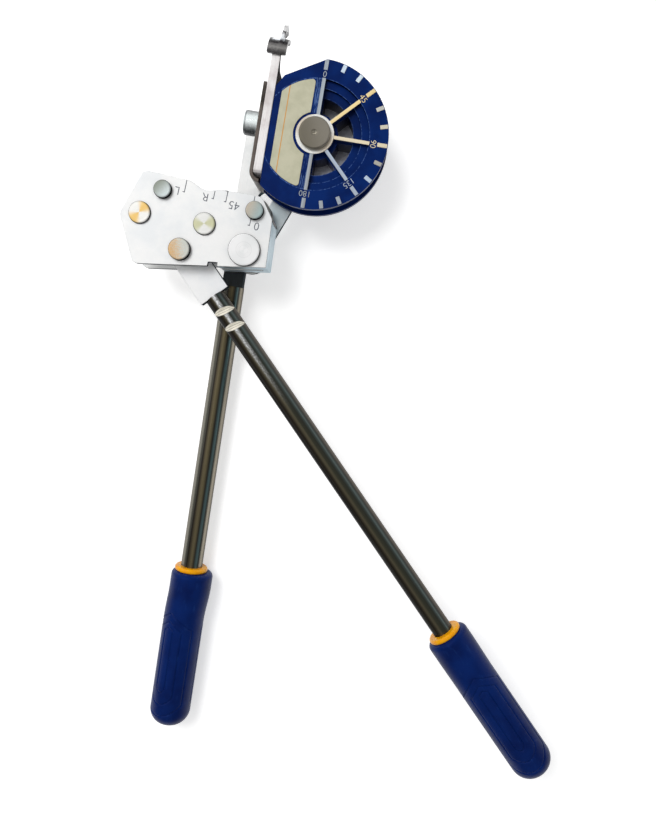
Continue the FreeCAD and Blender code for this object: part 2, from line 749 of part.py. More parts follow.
def strap_outside():
    return strap_inside() + cell("strap_thickness")


def make_latch():
    """The latch strap with its hook, and the saddle with the thumb tab on the hook."""
    body = new_body("latch_strap")
    tail, tail_radius, taper = cell("strap_tail"), cell("strap_tail_radius"), cell("strap_taper")
    line = cell("bend_radius")
    jaw = groove_radius + cell("running_gap")
    shell = jaw + cell("jaw_wall")
    reach = cell("jaw_reach")
    profile = new_sketch(body, "YZ_Plane", lift=-strap_outside())
    draw_outline(profile, [
        Line(-taper, shell),
        Line(-tail, tail_radius),
        Arc(-tail, -tail_radius, (-tail, 0)),
        Line(-taper, -shell),
        Line(line - jaw, -shell),
        Line(line - jaw, 0),
        Arc(line + jaw, 0, (line, 0), True),
        Line(line + jaw, -reach),
        Line(line + shell, -reach),
        Line(line + shell, 0),
        Arc(line, shell, (line, 0)),
    ])
    pad(body, profile, cell("strap_thickness"))
    bore = new_sketch(body, "YZ_Plane")
    draw_circle(bore, cell("screw_shoulder") + cell("running_gap"), cell("screw_up"), 0)
    pocket(body, bore, both_ways=True)
    stand(body, wheel_frame)
    make_saddle(line, shell, reach)


def make_saddle(line, inner, reach):
    """The rounded saddle that widens the hook along the tube, with its thumb tab."""
    body = new_body("latch_saddle")
    outer = inner + cell("saddle_wall")
    lip = line - cell("saddle_lip")
    middle = strap_inside() + cell("strap_thickness") / 2
    profile = new_sketch(body, "YZ_Plane", lift=-middle)
    draw_outline(profile, [
        Line(line + inner, -reach),
        Line(line + outer, -reach),
        Line(line + outer, 0),
        Arc(line, outer, (line, 0)),
        Line(lip, outer),
        Line(lip, inner),
        Line(line, inner),
        Arc(line + inner, 0, (line, 0), True),
    ])
    pad(body, profile, cell("saddle_length"), both_ways=True)
    corner = reach - cell("running_gap") * 2
    soften(body, "Fillet", corner, lambda edge: (
        abs(abs(edge.CenterOfMass.x + middle.number) - cell("saddle_length").number / 2) < 1e-4
        and (all(abs(vertex.Z + reach.number) < 1e-4 for vertex in edge.Vertexes)
             or all(abs(vertex.Y - lip.number) < 1e-4 for vertex in edge.Vertexes))))
    tab = new_sketch(body, "YZ_Plane", lift=-strap_inside() - cell("tab_thickness"))
    tip, low = line + cell("tab_reach"), cell("tab_low")
    top = inner + cell("saddle_wall") / 2
    nose = (top - low) / 2
    draw_outline(tab, [
        Line(line, top),
        Line(line, inner),
        Arc(line + root(inner * inner - low * low), low, (line, 0), True),
        Line(tip - nose, low),
        Arc(tip - nose, top, (tip - nose, low + nose)),
    ])
    pad(body, tab, cell("tab_thickness"))
    stand(body, wheel_frame)


def make_latch_screw():
    """The socket cap screw that the latch turns on, with its shoulder through the side plate."""
    head, shoulder, thread = cell("screw_head_radius"), cell("screw_shoulder"), cell("screw_radius")
    height, bevel = cell("screw_head_height"), cell("cap_edge")
    seat = strap_outside() + cell("side_gap") + cell("web_thickness")
    grip = seat - cell("wheel_flat")
    end = grip + cell("screw_depth")
    body = turned("latch_screw", [
        (0, height), (0, -end), (thread, -end), (thread, -grip), (shoulder, -grip),
        (shoulder, 0), (head, 0), (head, height - bevel), (head - bevel, height)])
    socket = new_sketch(body, lift=height)
    draw_hexagon(socket, cell("screw_key"))
    pocket(body, socket, cell("screw_key_depth"))
    stand(body, wheel_frame, -seat, cell("screw_up"), 0, (0, 1, 0), -90)


def link_fall():
    """Slope of the link's straight lower edge."""
    return (cell("link_foot_low") - cell("link_low")) / (cell("link_foot") + cell("link_right"))


def link_bottom(x):
    """Height of the link's straight lower edge at a place across."""
    return -cell("link_low") - (cell("link_right") - x) * link_fall()


def link_end(y, inset):
    """Place across of the link's right edge at a height, moved in by an inset."""
    lean = (cell("link_right") - cell("link_shoulder")) / (cell("link_shoulder_up") + cell("link_low"))
    return cell("link_right") - (y + cell("link_low")) * lean - inset


def make_link_yoke():
    """The folded link: two walls joined by an end wall, with stiffening lips below."""
    body = new_body("link_yoke")
    dip, step = cell("dip_depth"), cell("dip_step")
    top = cell("roller_line") + cell("link_top_edge")
    left = cell("rear_across") + cell("link_left_edge")
    corners = {
        "top_left": (-cell("far_roller_across") - cell("link_top_end"), top),
        "dip_start": (-cell("dip_start"), top),
        "dip": (-cell("dip_middle"), top - dip),
        "dip_end": (-cell("dip_end"), top - step),
        "nose": (cell("link_nose"), top),
        "shoulder": (cell("link_shoulder"), cell("link_shoulder_up")),
        "right": (cell("link_right"), -cell("link_low")),
        "foot": (-cell("link_foot"), -cell("link_foot_low")),
        "left": (-left, cell("link_left_up")),
    }
    outline = new_sketch(body)
    draw_outline(outline, [Line(*place) for place in corners.values()])
    pad(body, outline, link_face * 2, both_ways=True)
    rounds = ("top_left", "nose", "shoulder", "foot", "left")
    soften(body, "Fillet", cell("link_round"), stands_at([corners[name] for name in rounds]))
    waves = ("dip_start", "dip", "dip_end")
    soften(body, "Fillet", cell("link_soft"), stands_at([corners[name] for name in waves]))

    far = left * 2
    wall, lip_end, wall_top = cell("link_wall"), -cell("lip_end"), cell("end_wall_top")
    lip_left = link_bottom(lip_end) + wall
    lip_right = link_bottom(cell("link_right") - wall) + wall
    inside = new_sketch(body)
    draw_outline(inside, [
        Line(-far, far), Line(far, far), Line(far, wall_top),
        Line(link_end(wall_top, wall), wall_top),
        Line(link_end(lip_right, wall), lip_right),
        Line(lip_end, lip_left), Line(lip_end, -far), Line(-far, -far)])
    pocket(body, inside, cell("link_gap"), both_ways=True)
    between = new_sketch(body)
    draw_outline(between, [
        Line(lip_end, lip_left), Line(lip_end, -far),
        Line(link_end(lip_right, wall), -far), Line(link_end(lip_right, wall), lip_right)])
    pocket(body, between, cell("lip_gap"), both_ways=True)
    notch = new_sketch(body)
    notch_end = -cell("notch_end")
    depth = cell("notch_depth")
    draw_outline(notch, [
        Line(lip_end, link_bottom(lip_end) + depth), Line(notch_end, link_bottom(notch_end) + depth),
        Line(notch_end, -far), Line(lip_end, -far)])
    pocket(body, notch, both_ways=True)

    holes = new_sketch(body)
    for radius, place in (
            ("roller_pin_radius", near_roller_place()), ("roller_pin_radius", far_roller_place()),
            ("rivet_radius", rear_place()), ("rivet_radius", stop_place()),
            ("lever_pin_radius", lever_place()), ("link_pin_radius", (sized(0), sized(0)))):
        draw_circle(holes, cell(radius) + cell("seat_gap"), *place)
    pocket(body, holes, both_ways=True)
    stand(body, link_frame)


def near_roller_place():
    return cell("near_roller_across"), cell("roller_line")


def far_roller_place():
    return -cell("far_roller_across"), cell("roller_line")


def rear_place():
    return -cell("rear_across"), cell("rear_up")


def stop_place():
    return -cell("stop_across"), cell("stop_up")


def lever_place():
    return -cell("lever_pin_across"), -cell("lever_pin_down")


def make_rollers():
    """The two grooved rollers and the headed pins that they turn on."""
    outer, bore = cell("roller_radius"), cell("roller_pin_radius") + cell("running_gap")
    half = link_inside - cell("roller_side_gap")
    for name, place in (("near", near_roller_place()), ("far", far_roller_place())):
        roller = washer(f"{name}_roller", outer, bore, -half, half)
        cut_groove(roller, cell("roller_to_tube"), 12)
        stand(roller, link_frame, *place)
        pin = headed_pin(
            f"{name}_roller_pin", cell("roller_pin_radius"), cell("roller_head_radius"),
            cell("roller_head_height"), link_face, -link_face)
        stand(pin, link_frame, *place)


def make_link_pins():
    """The link's rivets and pivots, with the sleeves and washers that they carry."""
    tail = (cell("rivet_tail_radius"), cell("rivet_tail_height"))
    for name, place in (("rear", rear_place()), ("stop", stop_place())):
        rivet = headed_pin(
            f"{name}_rivet", cell("rivet_radius"), cell("rivet_head_radius"),
            cell("rivet_head_height"), link_face, -link_face, tail)
        stand(rivet, link_frame, *place)
        bore = cell("rivet_radius") + cell("seat_gap")
        sleeve = washer(f"{name}_sleeve", cell("sleeve_radius"), bore, -link_inside, link_inside)
        stand(sleeve, link_frame, *place)

    pivot = headed_pin(
        "lever_pivot", cell("lever_pin_radius"), cell("lever_pin_head_radius"),
        cell("lever_pin_head_height"), link_face, -link_face,
        (cell("lever_pin_head_radius"), cell("rivet_tail_height")))
    stand(pivot, link_frame, *lever_place())
    bore = cell("lever_pin_radius") + cell("seat_gap")
    side = cell("blade_thickness") / 2
    spacer_sides = (("upper", side, link_inside), ("lower", -link_inside, -side))
    for name, low, high in spacer_sides:
        spacer = washer(f"{name}_lever_spacer", cell("lever_spacer_radius"), bore, low, high)
        stand(spacer, link_frame, *lever_place())

    shank, flare = cell("link_pin_radius"), cell("link_pin_flare")
    head, seat = cell("link_pin_head_radius"), link_face
    crown, bevel = seat + cell("link_pin_head_height"), cell("head_edge")
    link_pivot = turned("link_pivot", [
        (0, crown), (0, arm_lower), (shank + flare, arm_lower), (shank, arm_lower + flare),
        (shank, seat), (head, seat), (head, crown - bevel), (head - bevel, crown)])
    stand(link_pivot, link_frame)
    bore = shank + cell("seat_gap")
    lean = link_fall()
    to_edge = -link_bottom(sized(0)) / root(lean * lean + 1)
    room = to_edge - cell("link_wall") - cell("side_gap") / 3
    sleeve = washer("link_sleeve", room, bore, -link_inside, link_inside)
    stand(sleeve, link_frame)
    stand(washer("link_washer", cell("arm_eye_radius"), bore, arm_upper, -link_face), link_frame)


def tang_radius():
    """Radius of a round tang that fills its handle's tube."""
    return cell("handle_tube_radius") - cell("handle_tube_wall") - cell("seat_gap")


def make_lever_blade():
    """The lever's flat blade: pivot eye, hook over the stop rivet and round tang."""
    right, left = cell("blade_right"), cell("blade_left")
    shoulder, crown = cell("blade_shoulder"), cell("blade_crown")
    thick = cell("blade_thickness")
    lean = cell("lever_angle") + cell("link_tilt")
    away = cell("lever_pin_across") - cell("stop_across")
    up = cell("lever_pin_down") + cell("stop_up")
    stop_x = away * cosine(lean) + up * sine(lean)
    stop_y = up * cosine(lean) - away * sine(lean)
    travel = cell("hook_travel")
    under = stop_x * sine(travel) + stop_y * cosine(travel) + cell("sleeve_radius") + cell("side_gap") / 3
    over = under + cell("hook_height")
    tip = cell("hook_tip")
    body = new_body("lever_blade")
    corners = {
        "outer_left": (-left, -shoulder),
        "outer_right": (right, -shoulder),
        "throat": (right, under),
        "hook_under": (tip, under),
        "hook_over": (tip, over),
        "neck": (left, over),
        "crown": (-left, crown),
    }
    outline = new_sketch(body, lift=-thick / 2)
    draw_outline(outline, [Line(*place) for place in corners.values()])
    pad(body, outline, thick)
    rounds = ("throat", "neck", "crown")
    soften(body, "Fillet", cell("blade_round"), stands_at([corners[name] for name in rounds]))
    nose = cell("hook_height") / 2 - cell("side_gap")
    soften(body, "Fillet", nose, stands_at([corners["hook_under"], corners["hook_over"]]))
    bore = new_sketch(body)
    draw_circle(bore, cell("lever_pin_radius") + cell("running_gap"))
    pocket(body, bore, both_ways=True)
    tang = new_sketch(body, "XZ_Plane", lift=shoulder)
    draw_circle(tang, tang_radius())
    pad(body, tang, cell("tang_length"))
    stand(body, lever_frame)


def make_handle(name, frame, mouth, grip_start, swell_way):
    """A handle's tube with its crimps, its collar ring and its moulded grip, along -Y."""
    radius = cell("handle_tube_radius")
    bore = radius - cell("handle_tube_wall")
    tube_end = grip_start + cell("grip_length") - cell("grip_bore_end")
    down = along(0, -mouth, 0, (1, 0, 0), 90)
    outside = cylinder(f"{name}_tube_outside", radius, tube_end - mouth, down)
    inside = cylinder(f"{name}_tube_inside", bore, tube_end - mouth, down)
    tube = joined("Cut", f"{name}_pipe", outside, inside)
    crimp = cell("crimp_radius")
    for number in range(2):
        spot = mouth + cell("crimp_first") + cell("crimp_pitch") * number
        for side in (1, -1):
            level = (radius - cell("crimp_depth") + crimp) * side
            place = along(-radius, -spot, level, (0, 1, 0), 90)
            tool = cylinder(f"{name}_crimp", crimp, radius * 2, place)
            tube = joined("Cut", f"{name}_crimped", tube, tool)
    tube.Label = f"{name}_tube"
    stand(tube, frame)

    hole = radius + cell("seat_gap")
    back, front = -grip_start, cell("collar_width") - grip_start
    rim, bevel = cell("collar_radius"), cell("collar_bevel")
    ring = turned(f"{name}_collar", [
        (hole, back), (rim - bevel, back), (rim, back + bevel),
        (rim, front - bevel), (rim - bevel, front), (hole, front)], plane="XY_Plane")
    stand(ring, frame)
    make_grip(name, frame, grip_start, hole, tube_end, swell_way)


def make_grip(name, frame, start, hole, tube_end, swell_way):
    """One moulded grip: round, with a swell to one side near its mouth and a domed end."""
    radius, mouth = cell("grip_radius"), cell("grip_mouth_round")
    swell, dome, shift = cell("swell_radius"), cell("grip_dome"), cell("swell_shift")
    end = start + cell("grip_length")
    half = math.sqrt(0.5)
    none = sized(0)
    stations = [
        (start, swell - mouth, shift),
        (start + mouth * (1 - half), swell - mouth * (1 - half), shift),
        (start + mouth, swell, shift),
        (start + cell("swell_place"), swell, shift),
        (start + cell("waist_place"), radius, none),
        (end - dome, radius, none),
        (end - dome * 0.5, radius - dome * (1 - math.sqrt(0.75)), none),
        (end - dome * (1 - math.sqrt(0.75)), radius - dome * 0.5, none),
        (end, radius - dome * 0.94, none),
    ]
    rings = []
    for distance, size, aside in stations:
        ring = doc.addObject("Part::Circle", f"{name}_grip_ring")
        bind(ring, "Radius", size)
        ring.Placement = along(0, 0, 0, (1, 0, 0), 90)
        bind(ring, "Placement.Base.x", aside * swell_way[0])
        bind(ring, "Placement.Base.y", -distance)
        bind(ring, "Placement.Base.z", aside * swell_way[1])
        rings.append(ring)
    loft = doc.addObject("Part::Loft", f"{name}_grip_loft")
    loft.Sections = rings
    loft.Solid = True
    loft.Ruled = True
    bore = cylinder(f"{name}_grip_bore", hole, tube_end - start, along(0, -start, 0, (1, 0, 0), 90))
    stand(joined("Cut", f"{name}_grip", loft, bore), frame)


def settle():
    """Move the whole assembly so that its origin is on the bench under its middle."""
    doc.recompute()
    box = FreeCAD.BoundBox()
    for part in sub_parts:
        box.add(part.Shape.optimalBoundingBox())
    shift = Vector(-box.Center.x, -box.Center.y, -box.ZMin)
    for part in sub_parts:
        part.Placement = Placement(shift, Rotation()) * part.Placement
    doc.recompute()
    return box, shift


def write_out():
    """Check every object and write one STEP file for each sub-part."""
    for item in doc.Objects:
        if "Invalid" in item.State or "Error" in item.State:
            raise RuntimeError(f"{item.Name} ({item.Label}) failed: {item.State}")
    os.makedirs("parts", exist_ok=True)
    for part in sub_parts:
        if part.Shape.isNull() or not part.Shape.isValid():
            raise RuntimeError(f"{part.Label} has no valid shape")
        part.Shape.exportStep(f"parts/{part.Label}.step")


make_form_wheel()
make_dial_ribs()
make_dial_label()
make_axle_stack()
make_swing_arm()
make_handle_bar()
make_side_plate()
make_latch()
make_latch_screw()
make_link_yoke()
make_rollers()
make_link_pins()
make_lever_blade()
make_handle("lever", lever_frame, cell("blade_shoulder"), cell("lever_grip_start"), (0, -1))
handle_frame = wheel_frame * along(-cell("bar_across"), 0, handle_level)
make_handle("handle", handle_frame, cell("bar_foot"), cell("handle_grip_start"), (1, 0))
bounds, shift = settle()
write_out()
print(f"{len(sub_parts)} sub-parts, {bounds.XLength:.2f} x {bounds.YLength:.2f} x {bounds.ZLength:.2f} mm")
print(f"wheel axis at {shift.x:.4f}, {shift.y:.4f}, mid-plane at {mid_height.number + shift.z:.4f}")
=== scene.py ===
"""Looks of a lever tube bender: form wheel, latch, roller link and two long handles.

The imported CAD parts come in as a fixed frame. Each sub-assembly below copies or builds the
surfaces that are seen, dresses them in its own finishes and lets them ride on the CAD bodies.
"""

import json
import logging
import math
from abc import ABC, abstractmethod
from collections.abc import Callable, Iterable, Iterator, Mapping, Sequence
from contextlib import contextmanager
from dataclasses import dataclass, field
from enum import Enum
from typing import Any

import bmesh
import bpy
from mathutils import Matrix, Vector


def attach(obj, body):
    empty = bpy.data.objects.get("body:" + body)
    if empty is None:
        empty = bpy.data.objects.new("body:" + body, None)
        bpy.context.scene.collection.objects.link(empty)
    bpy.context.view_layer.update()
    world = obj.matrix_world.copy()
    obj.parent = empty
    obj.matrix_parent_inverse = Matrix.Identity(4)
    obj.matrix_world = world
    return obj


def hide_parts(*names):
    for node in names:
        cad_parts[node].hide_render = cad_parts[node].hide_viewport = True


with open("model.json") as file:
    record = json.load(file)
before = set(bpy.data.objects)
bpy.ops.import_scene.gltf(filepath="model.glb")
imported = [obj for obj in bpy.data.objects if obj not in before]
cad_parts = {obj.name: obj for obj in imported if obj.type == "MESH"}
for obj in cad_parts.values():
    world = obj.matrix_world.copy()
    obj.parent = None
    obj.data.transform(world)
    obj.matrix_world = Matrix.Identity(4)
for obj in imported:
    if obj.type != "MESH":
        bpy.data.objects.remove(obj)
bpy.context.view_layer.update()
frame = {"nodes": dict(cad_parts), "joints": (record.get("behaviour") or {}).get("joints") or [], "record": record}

MM = 0.001
LOG = logging.getLogger("tube_bender")

Colour = tuple[float, float, float, float]
Point = tuple[float, float, float]
Stops = tuple[tuple[float, Colour], ...]
Mesh = bpy.types.Mesh
Modifier = tuple[str, Mapping[str, Any]]


def ink(code: int) -> Colour:
    """Turn a colour as a screen shows it into the linear one that nodes take.

    Args:
        code: Its red, green and blue levels, two hexadecimal digits each.

    Returns:
        The linear colour, opaque.
    """

    def linear(shift: int) -> float:
        """Undo the screen's curve for one level."""
        share = (code >> shift & 255) / 255
        return share / 12.92 if share <= 0.04045 else ((share + 0.055) / 1.055) ** 2.4

    return (linear(16), linear(8), linear(0), 1.0)


def shades(*stops: tuple[float, int]) -> Stops:
    """Give a ramp's stops from places and colours as a screen shows them."""
    return tuple((place, ink(code)) for place, code in stops)


# Places on the tool


@dataclass(frozen=True)
class Seat:
    """A place on the tool that a sub-assembly's own millimetres are measured from."""

    point: Point
    turn: float = 0.0

    @classmethod
    def at_joint(cls, joint: str, turn: float = 0.0) -> "Seat":
        """Find a joint's axis.

        Args:
            joint: Name of the joint.
            turn: Turn of the seat about the vertical, in degrees.

        Returns:
            The seat on that axis, level with the form wheel's mid-plane.
        """
        for entry in frame["joints"]:
            if entry["name"] == joint:
                return cls(tuple(entry["pos_m"]), turn)
        raise LookupError(f"there is no joint named {joint}")

    def moved(self, across: float, along: float, up: float = 0.0, turn: float = 0.0) -> "Seat":
        """Give another seat, measured from this one in millimetres and degrees."""
        spot = self.matrix() @ Vector((across, along, up))
        return Seat(tuple(spot), self.turn + turn)

    def matrix(self) -> Matrix:
        """Give the matrix from this seat's millimetres to the tool's metres."""
        turned = Matrix.Rotation(math.radians(self.turn), 4, "Z")
        return Matrix.Translation(self.point) @ turned @ Matrix.Scale(MM, 4)


LINK_LEAN = -3.3
LEVER_LEAN = 44.2
WHEEL = Seat.at_joint("arm_swing")
LINK = Seat.at_joint("link_swing", LINK_LEAN)
LEVER = Seat.at_joint("lever_play", LEVER_LEAN)
HANDLE = WHEEL.moved(-35.5, 0.0, -20.8)


# Node trees written as expressions


def operation(name: str, swapped: bool = False) -> "Callable[..., Value]":
    """Make a method of Value that adds a Math node.

    Args:
        name: The node's operation.
        swapped: Whether the value itself comes last.

    Returns:
        The method, which takes the other operands and gives the node's result.
    """

    def method(value: "Value", *others: "Value | float") -> "Value":
        """Add the node over the value and the others."""
        return value.graph.math(name, *((*others, value) if swapped else (value, *others)))

    return method


class Value:
    """A number that varies over a surface or a mesh: one output of a node tree."""

    def __init__(self, graph: "Graph", socket: bpy.types.NodeSocket) -> None:
        """Wrap a socket of a graph."""
        self.graph = graph
        self.socket = socket

    __add__ = __radd__ = operation("ADD")
    __sub__ = operation("SUBTRACT")
    __rsub__ = operation("SUBTRACT", swapped=True)
    __mul__ = __rmul__ = operation("MULTIPLY")
    __truediv__ = operation("DIVIDE")
    __mod__ = operation("FLOORED_MODULO")
    __abs__ = operation("ABSOLUTE")
    __lt__ = operation("LESS_THAN")
    __gt__ = operation("GREATER_THAN")
    least = operation("MINIMUM")
    most = operation("MAXIMUM")
    sine = operation("SINE")
    cosine = operation("COSINE")

    def root(self) -> "Value":
        """Give the square root, and 0 below 0."""
        return self.graph.math("SQRT", self.most(0.0))

    def rise(self, low: "Value | float", high: "Value | float") -> "Value":
        """Go smoothly from 0 to 1.

        Args:
            low: Up to where it is 0.
            high: From where on it is 1.

        Returns:
            The smooth step.
        """
        return self.graph.result(
            "ShaderNodeMapRange", {"interpolation_type": "SMOOTHSTEP"},
            {"Value": self, "From Min": low, "From Max": high})


class Graph:
    """A node tree that is filled by expressions and by one method for every other node."""

    def __init__(self, tree: bpy.types.NodeTree) -> None:
        """Take the tree to fill."""
        self.tree = tree

    def node(self, kind: str, settings: Mapping[str, Any] | None = None,
             values: Mapping[str | int, Any] | None = None) -> bpy.types.Node:
        """Add a node.

        Args:
            kind: The node's type.
            settings: Its settings, set first. The stops of a ramp are (place, colour) pairs.
            values: What goes into its sockets, by name or number.

        Returns:
            The new node.
        """
        made = self.tree.nodes.new(kind)
        for name, setting in (settings or {}).items():
            if name == "stops":
                self._set_stops(made.color_ramp.elements, setting)
            else:
                setattr(made, name, setting)
        for key, value in (values or {}).items():
            self.feed(self._socket(made.inputs, key), value)
        return made

    def result(self, kind: str, settings: Mapping[str, Any] | None = None,
               values: Mapping[str | int, Any] | None = None, output: str | int = 0) -> Value:
        """Add a node as `node` does and give one of its outputs as a value."""
        made = self.node(kind, settings, values)
        return Value(self, self._socket(made.outputs, output))

    def math(self, operation: str, *operands: "Value | float") -> Value:
        """Add a Math node over values and numbers."""
        return self.result("ShaderNodeMath", {"operation": operation}, dict(enumerate(operands)))

    def ray(self, kind: str) -> Value:
        """Give 1 on rays of one kind, else 0."""
        return self.result("ShaderNodeLightPath", output=f"Is {kind} Ray")

    def feed(self, socket: bpy.types.NodeSocket, value: Any) -> None:
        """Link a value or a list of values to a socket, or set its number.

        Args:
            socket: The socket to feed.
            value: What goes into it.
        """
        if isinstance(value, (list, tuple)) and value and isinstance(value[0], Value):
            for entry in value:
                self.tree.links.new(entry.socket, socket)
        elif isinstance(value, Value):
            self.tree.links.new(value.socket, socket)
        else:
            socket.default_value = value

    def join(self, across: Any, along: Any, up: Any) -> Value:
        """Make a vector of three values or numbers."""
        return self.result("ShaderNodeCombineXYZ", {}, {0: across, 1: along, 2: up})

    def split(self, vector: Value) -> tuple[Value, Value, Value]:
        """Give a vector's three values."""
        outputs = self.node("ShaderNodeSeparateXYZ", {}, {0: vector}).outputs
        return Value(self, outputs[0]), Value(self, outputs[1]), Value(self, outputs[2])

    @staticmethod
    def _socket(sockets: Any, key: str | int) -> bpy.types.NodeSocket:
        """Pick a socket.

        Args:
            sockets: A node's inputs or outputs.
            key: The socket's number, identifier or name.

        Returns:
            The socket.
        """
        if isinstance(key, int):
            return sockets[key]
        for socket in sockets:
            if socket.identifier == key:
                return socket
        return sockets[key]

    @staticmethod
    def _set_stops(elements: Any, stops: Stops) -> None:
        """Set the stops of a colour ramp.

        Args:
            elements: The ramp's elements, two at first.
            stops: Their places and colours.
        """
        while len(elements) < len(stops):
            elements.new(0.5)
        for element, (place, colour) in zip(elements, stops):
            element.position = place
            element.color = colour


class MaterialGraph(Graph):
    """A material's tree: its one shader, the place on its surface and shared patterns."""

    def __init__(self, tree: bpy.types.NodeTree, seat: Seat) -> None:
        """Empty a tree and add its shader and output.

        Args:
            tree: The material's tree.
            seat: The seat that places are measured from, in its millimetres.
        """
        super().__init__(tree)
        tree.nodes.clear()
        self.shader = self.node("ShaderNodeBsdfPrincipled")
        self.node("ShaderNodeOutputMaterial", {}, {0: Value(self, self.shader.outputs[0])})
        self.spot = self.result(
            "ShaderNodeMapping", {"vector_type": "TEXTURE"},
            {"Vector": self.result("ShaderNodeTexCoord", output="Object"),
             "Location": seat.point, "Rotation": (0.0, 0.0, math.radians(seat.turn)),
             "Scale": (MM, MM, MM)})

    def surface(self, values: Mapping[str, Any]) -> None:
        """Set or link the shader's own sockets."""
        for key, value in values.items():
            self.feed(self.shader.inputs[key], value)

    def noise(self, scale: float, detail: float = 2.0, rough: float = 0.5,
              stretch: Point | None = None, spot: Value | None = None) -> Value:
        """Give a soft noise about 0.5.

        Args:
            scale: Blotches per unit of the place.
            detail: How many finer layers are added.
            rough: How strong those layers are.
            stretch: What the place is multiplied by first.
            spot: The place that it follows, if not the one on the surface.

        Returns:
            The noise as a value.
        """
        place = spot or self.spot
        if stretch is not None:
            place = self.result(
                "ShaderNodeVectorMath", {"operation": "MULTIPLY"}, {0: place, 1: stretch})
        return self.result(
            "ShaderNodeTexNoise", {},
            {"Vector": place, "Scale": scale, "Detail": detail, "Roughness": rough})

    def blend(self, mask: Any, first: Any, second: Any) -> Value:
        """Go from one colour to another.

        Args:
            mask: 0 for the first colour, 1 for the second.
            first: The first colour.
            second: The second colour.

        Returns:
            The mixed colour.
        """
        return self.result(
            "ShaderNodeMix", {"data_type": "RGBA"},
            {"Factor_Float": mask, "A_Color": first, "B_Color": second}, "Result_Color")

    def ramp(self, value: Value, stops: Stops) -> Value:
        """Give the colour that a value has on a ramp."""
        return self.result("ShaderNodeValToRGB", {"stops": stops}, {0: value}, "Color")

    def bump(self, height: Value, depth: float) -> Value:
        """Stand a height out of the surface, so many millimetres where it is 1."""
        return self.result("ShaderNodeBump", {}, {"Height": height, "Distance": depth * MM})


# Finishes


@dataclass(frozen=True)
class Finish(ABC):
    """A finish, the record's slot that it stands for and the seat that it is measured from."""

    name: str
    slot: str
    seat: Seat = WHEEL

    def place(self) -> Seat:
        """Give the seat of the finish's pattern."""
        return self.seat

    def material(self) -> bpy.types.Material:
        """Make the material, or find it if it is made already.

        Returns:
            The material.
        """
        made = bpy.data.materials.get(self.name)
        if made is None:
            made = bpy.data.materials.new(self.name)
            made.use_nodes = True
            self.draw(MaterialGraph(made.node_tree, self.place()))
        return made

    @abstractmethod
    def draw(self, graph: MaterialGraph) -> None:
        """Fill the material's graph.

        Args:
            graph: The material's graph.
        """


# Painted glints on the silver paint: warm and cool highlights by turn round the wheel.
SILVER_PAINTED_GLINTS = shades(
    (0.0, 0xA8B0B8), (0.085, 0xD6E6F6), (0.17, 0xDEEEFA), (0.25, 0xFAE0A0), (0.33, 0xC8C8C2),
    (0.5, 0xECDEBE), (0.6, 0xA6A8A4), (0.68, 0xC4D8F0), (0.76, 0xACB6C4), (1.0, 0x9EA2A6))


def silver_paint(graph: MaterialGraph) -> Value:
    """Colour the dial's silver paint, with painted warm and cool glints round the wheel.

    Args:
        graph: The material's graph, seated on the wheel.

    Returns:
        The paint's colour.
    """
    across, along, _ = graph.split(graph.spot)
    share = graph.math("ARCTAN2", across, along) / math.pi
    glints = graph.ramp(share.most(0.0), SILVER_PAINTED_GLINTS)
    worn = graph.noise(1.6, 4.0, 0.6).rise(0.58, 0.72) * 0.22
    return graph.blend(worn, glints, ink(0x787E86))


@dataclass(frozen=True)
class CastPaint(Finish):
    """Semi-gloss paint on the cast wheel, silver on the tops of the dial's ribs.

    Each edge with a painted highlight, broken by speckle like worn paint, has a radius and a level. Streaked
    strips of painted sheen lie beside the upright ribs, and painted shade darkens the dish toward its upper side.
    """

    face: float = 9.5
    dish: float = 3.0
    edges: tuple[tuple[float, float], ...] = ((28.9, 9.5), (24.7, 7.3), (20.4, 5.5))
    sheen_band_across: tuple[float, float] = (-3.9, -0.95)
    sheen_band_along: tuple[float, float] = (11.0, 29.0)

    def draw(self, graph: MaterialGraph) -> None:
        """Paint the casting, paint highlights along its edges, sheen beside the ribs and shade in the dish, and
        silver the ribs.

        Args:
            graph: The material's graph.
        """
        across, along, up = graph.split(graph.spot)
        cloud = graph.noise(0.09, 3.0).rise(0.35, 0.68)
        paint = graph.blend(cloud, ink(0x001B54), ink(0x032666))
        radius = (across * across + along * along).root()
        speck = graph.noise(0.9, 3.0).rise(0.38, 0.6)
        # Lighter lines along the dish's edges, broken by speckle: painted highlights with a look of worn paint.
        for reach, level in self.edges:
            on_edge = 1.0 - abs(radius - reach).rise(0.08, 0.34)
            on_level = 1.0 - abs(up - level).rise(0.3, 0.5)
            paint = graph.blend(on_edge * on_level * speck * 0.55, paint, ink(0x688CCE))
        # Painted sheen: lighter streaked strips along the ledges beside the ribs at 0 and 180.
        streak = graph.noise(1.0, 3.0, 0.65, stretch=(3.2, 0.16, 1.0)).rise(0.5, 0.64)
        left, right = self.sheen_band_across
        inner, outer = self.sheen_band_along
        band = ((across > left) * (across < right) * (abs(along) > inner) * (abs(along) < outer)
                * (up > self.face - 0.05))
        paint = graph.blend(band * streak * 0.7, paint, ink(0x7090C4))
        # Painted shade in the dish, darker toward its upper side under the rim.
        painted_dish_shade = (1.0 - up.rise(self.dish, self.face - 0.4)) * along.rise(-12.0, 12.0)
        paint = graph.blend(painted_dish_shade * 0.5, paint, ink(0x000A26))
        top = up.rise(self.face + 0.12, self.face + 0.24)
        grain = graph.noise(1.1, 2.0)
        graph.surface({
            "Base Color": graph.blend(top, paint, silver_paint(graph)),
            "Roughness": 0.3 + 0.1 * grain + 0.08 * top,
            "Specular IOR Level": 0.11,
            "Normal": graph.bump(graph.noise(1.9, 2.0), 0.035),
        })


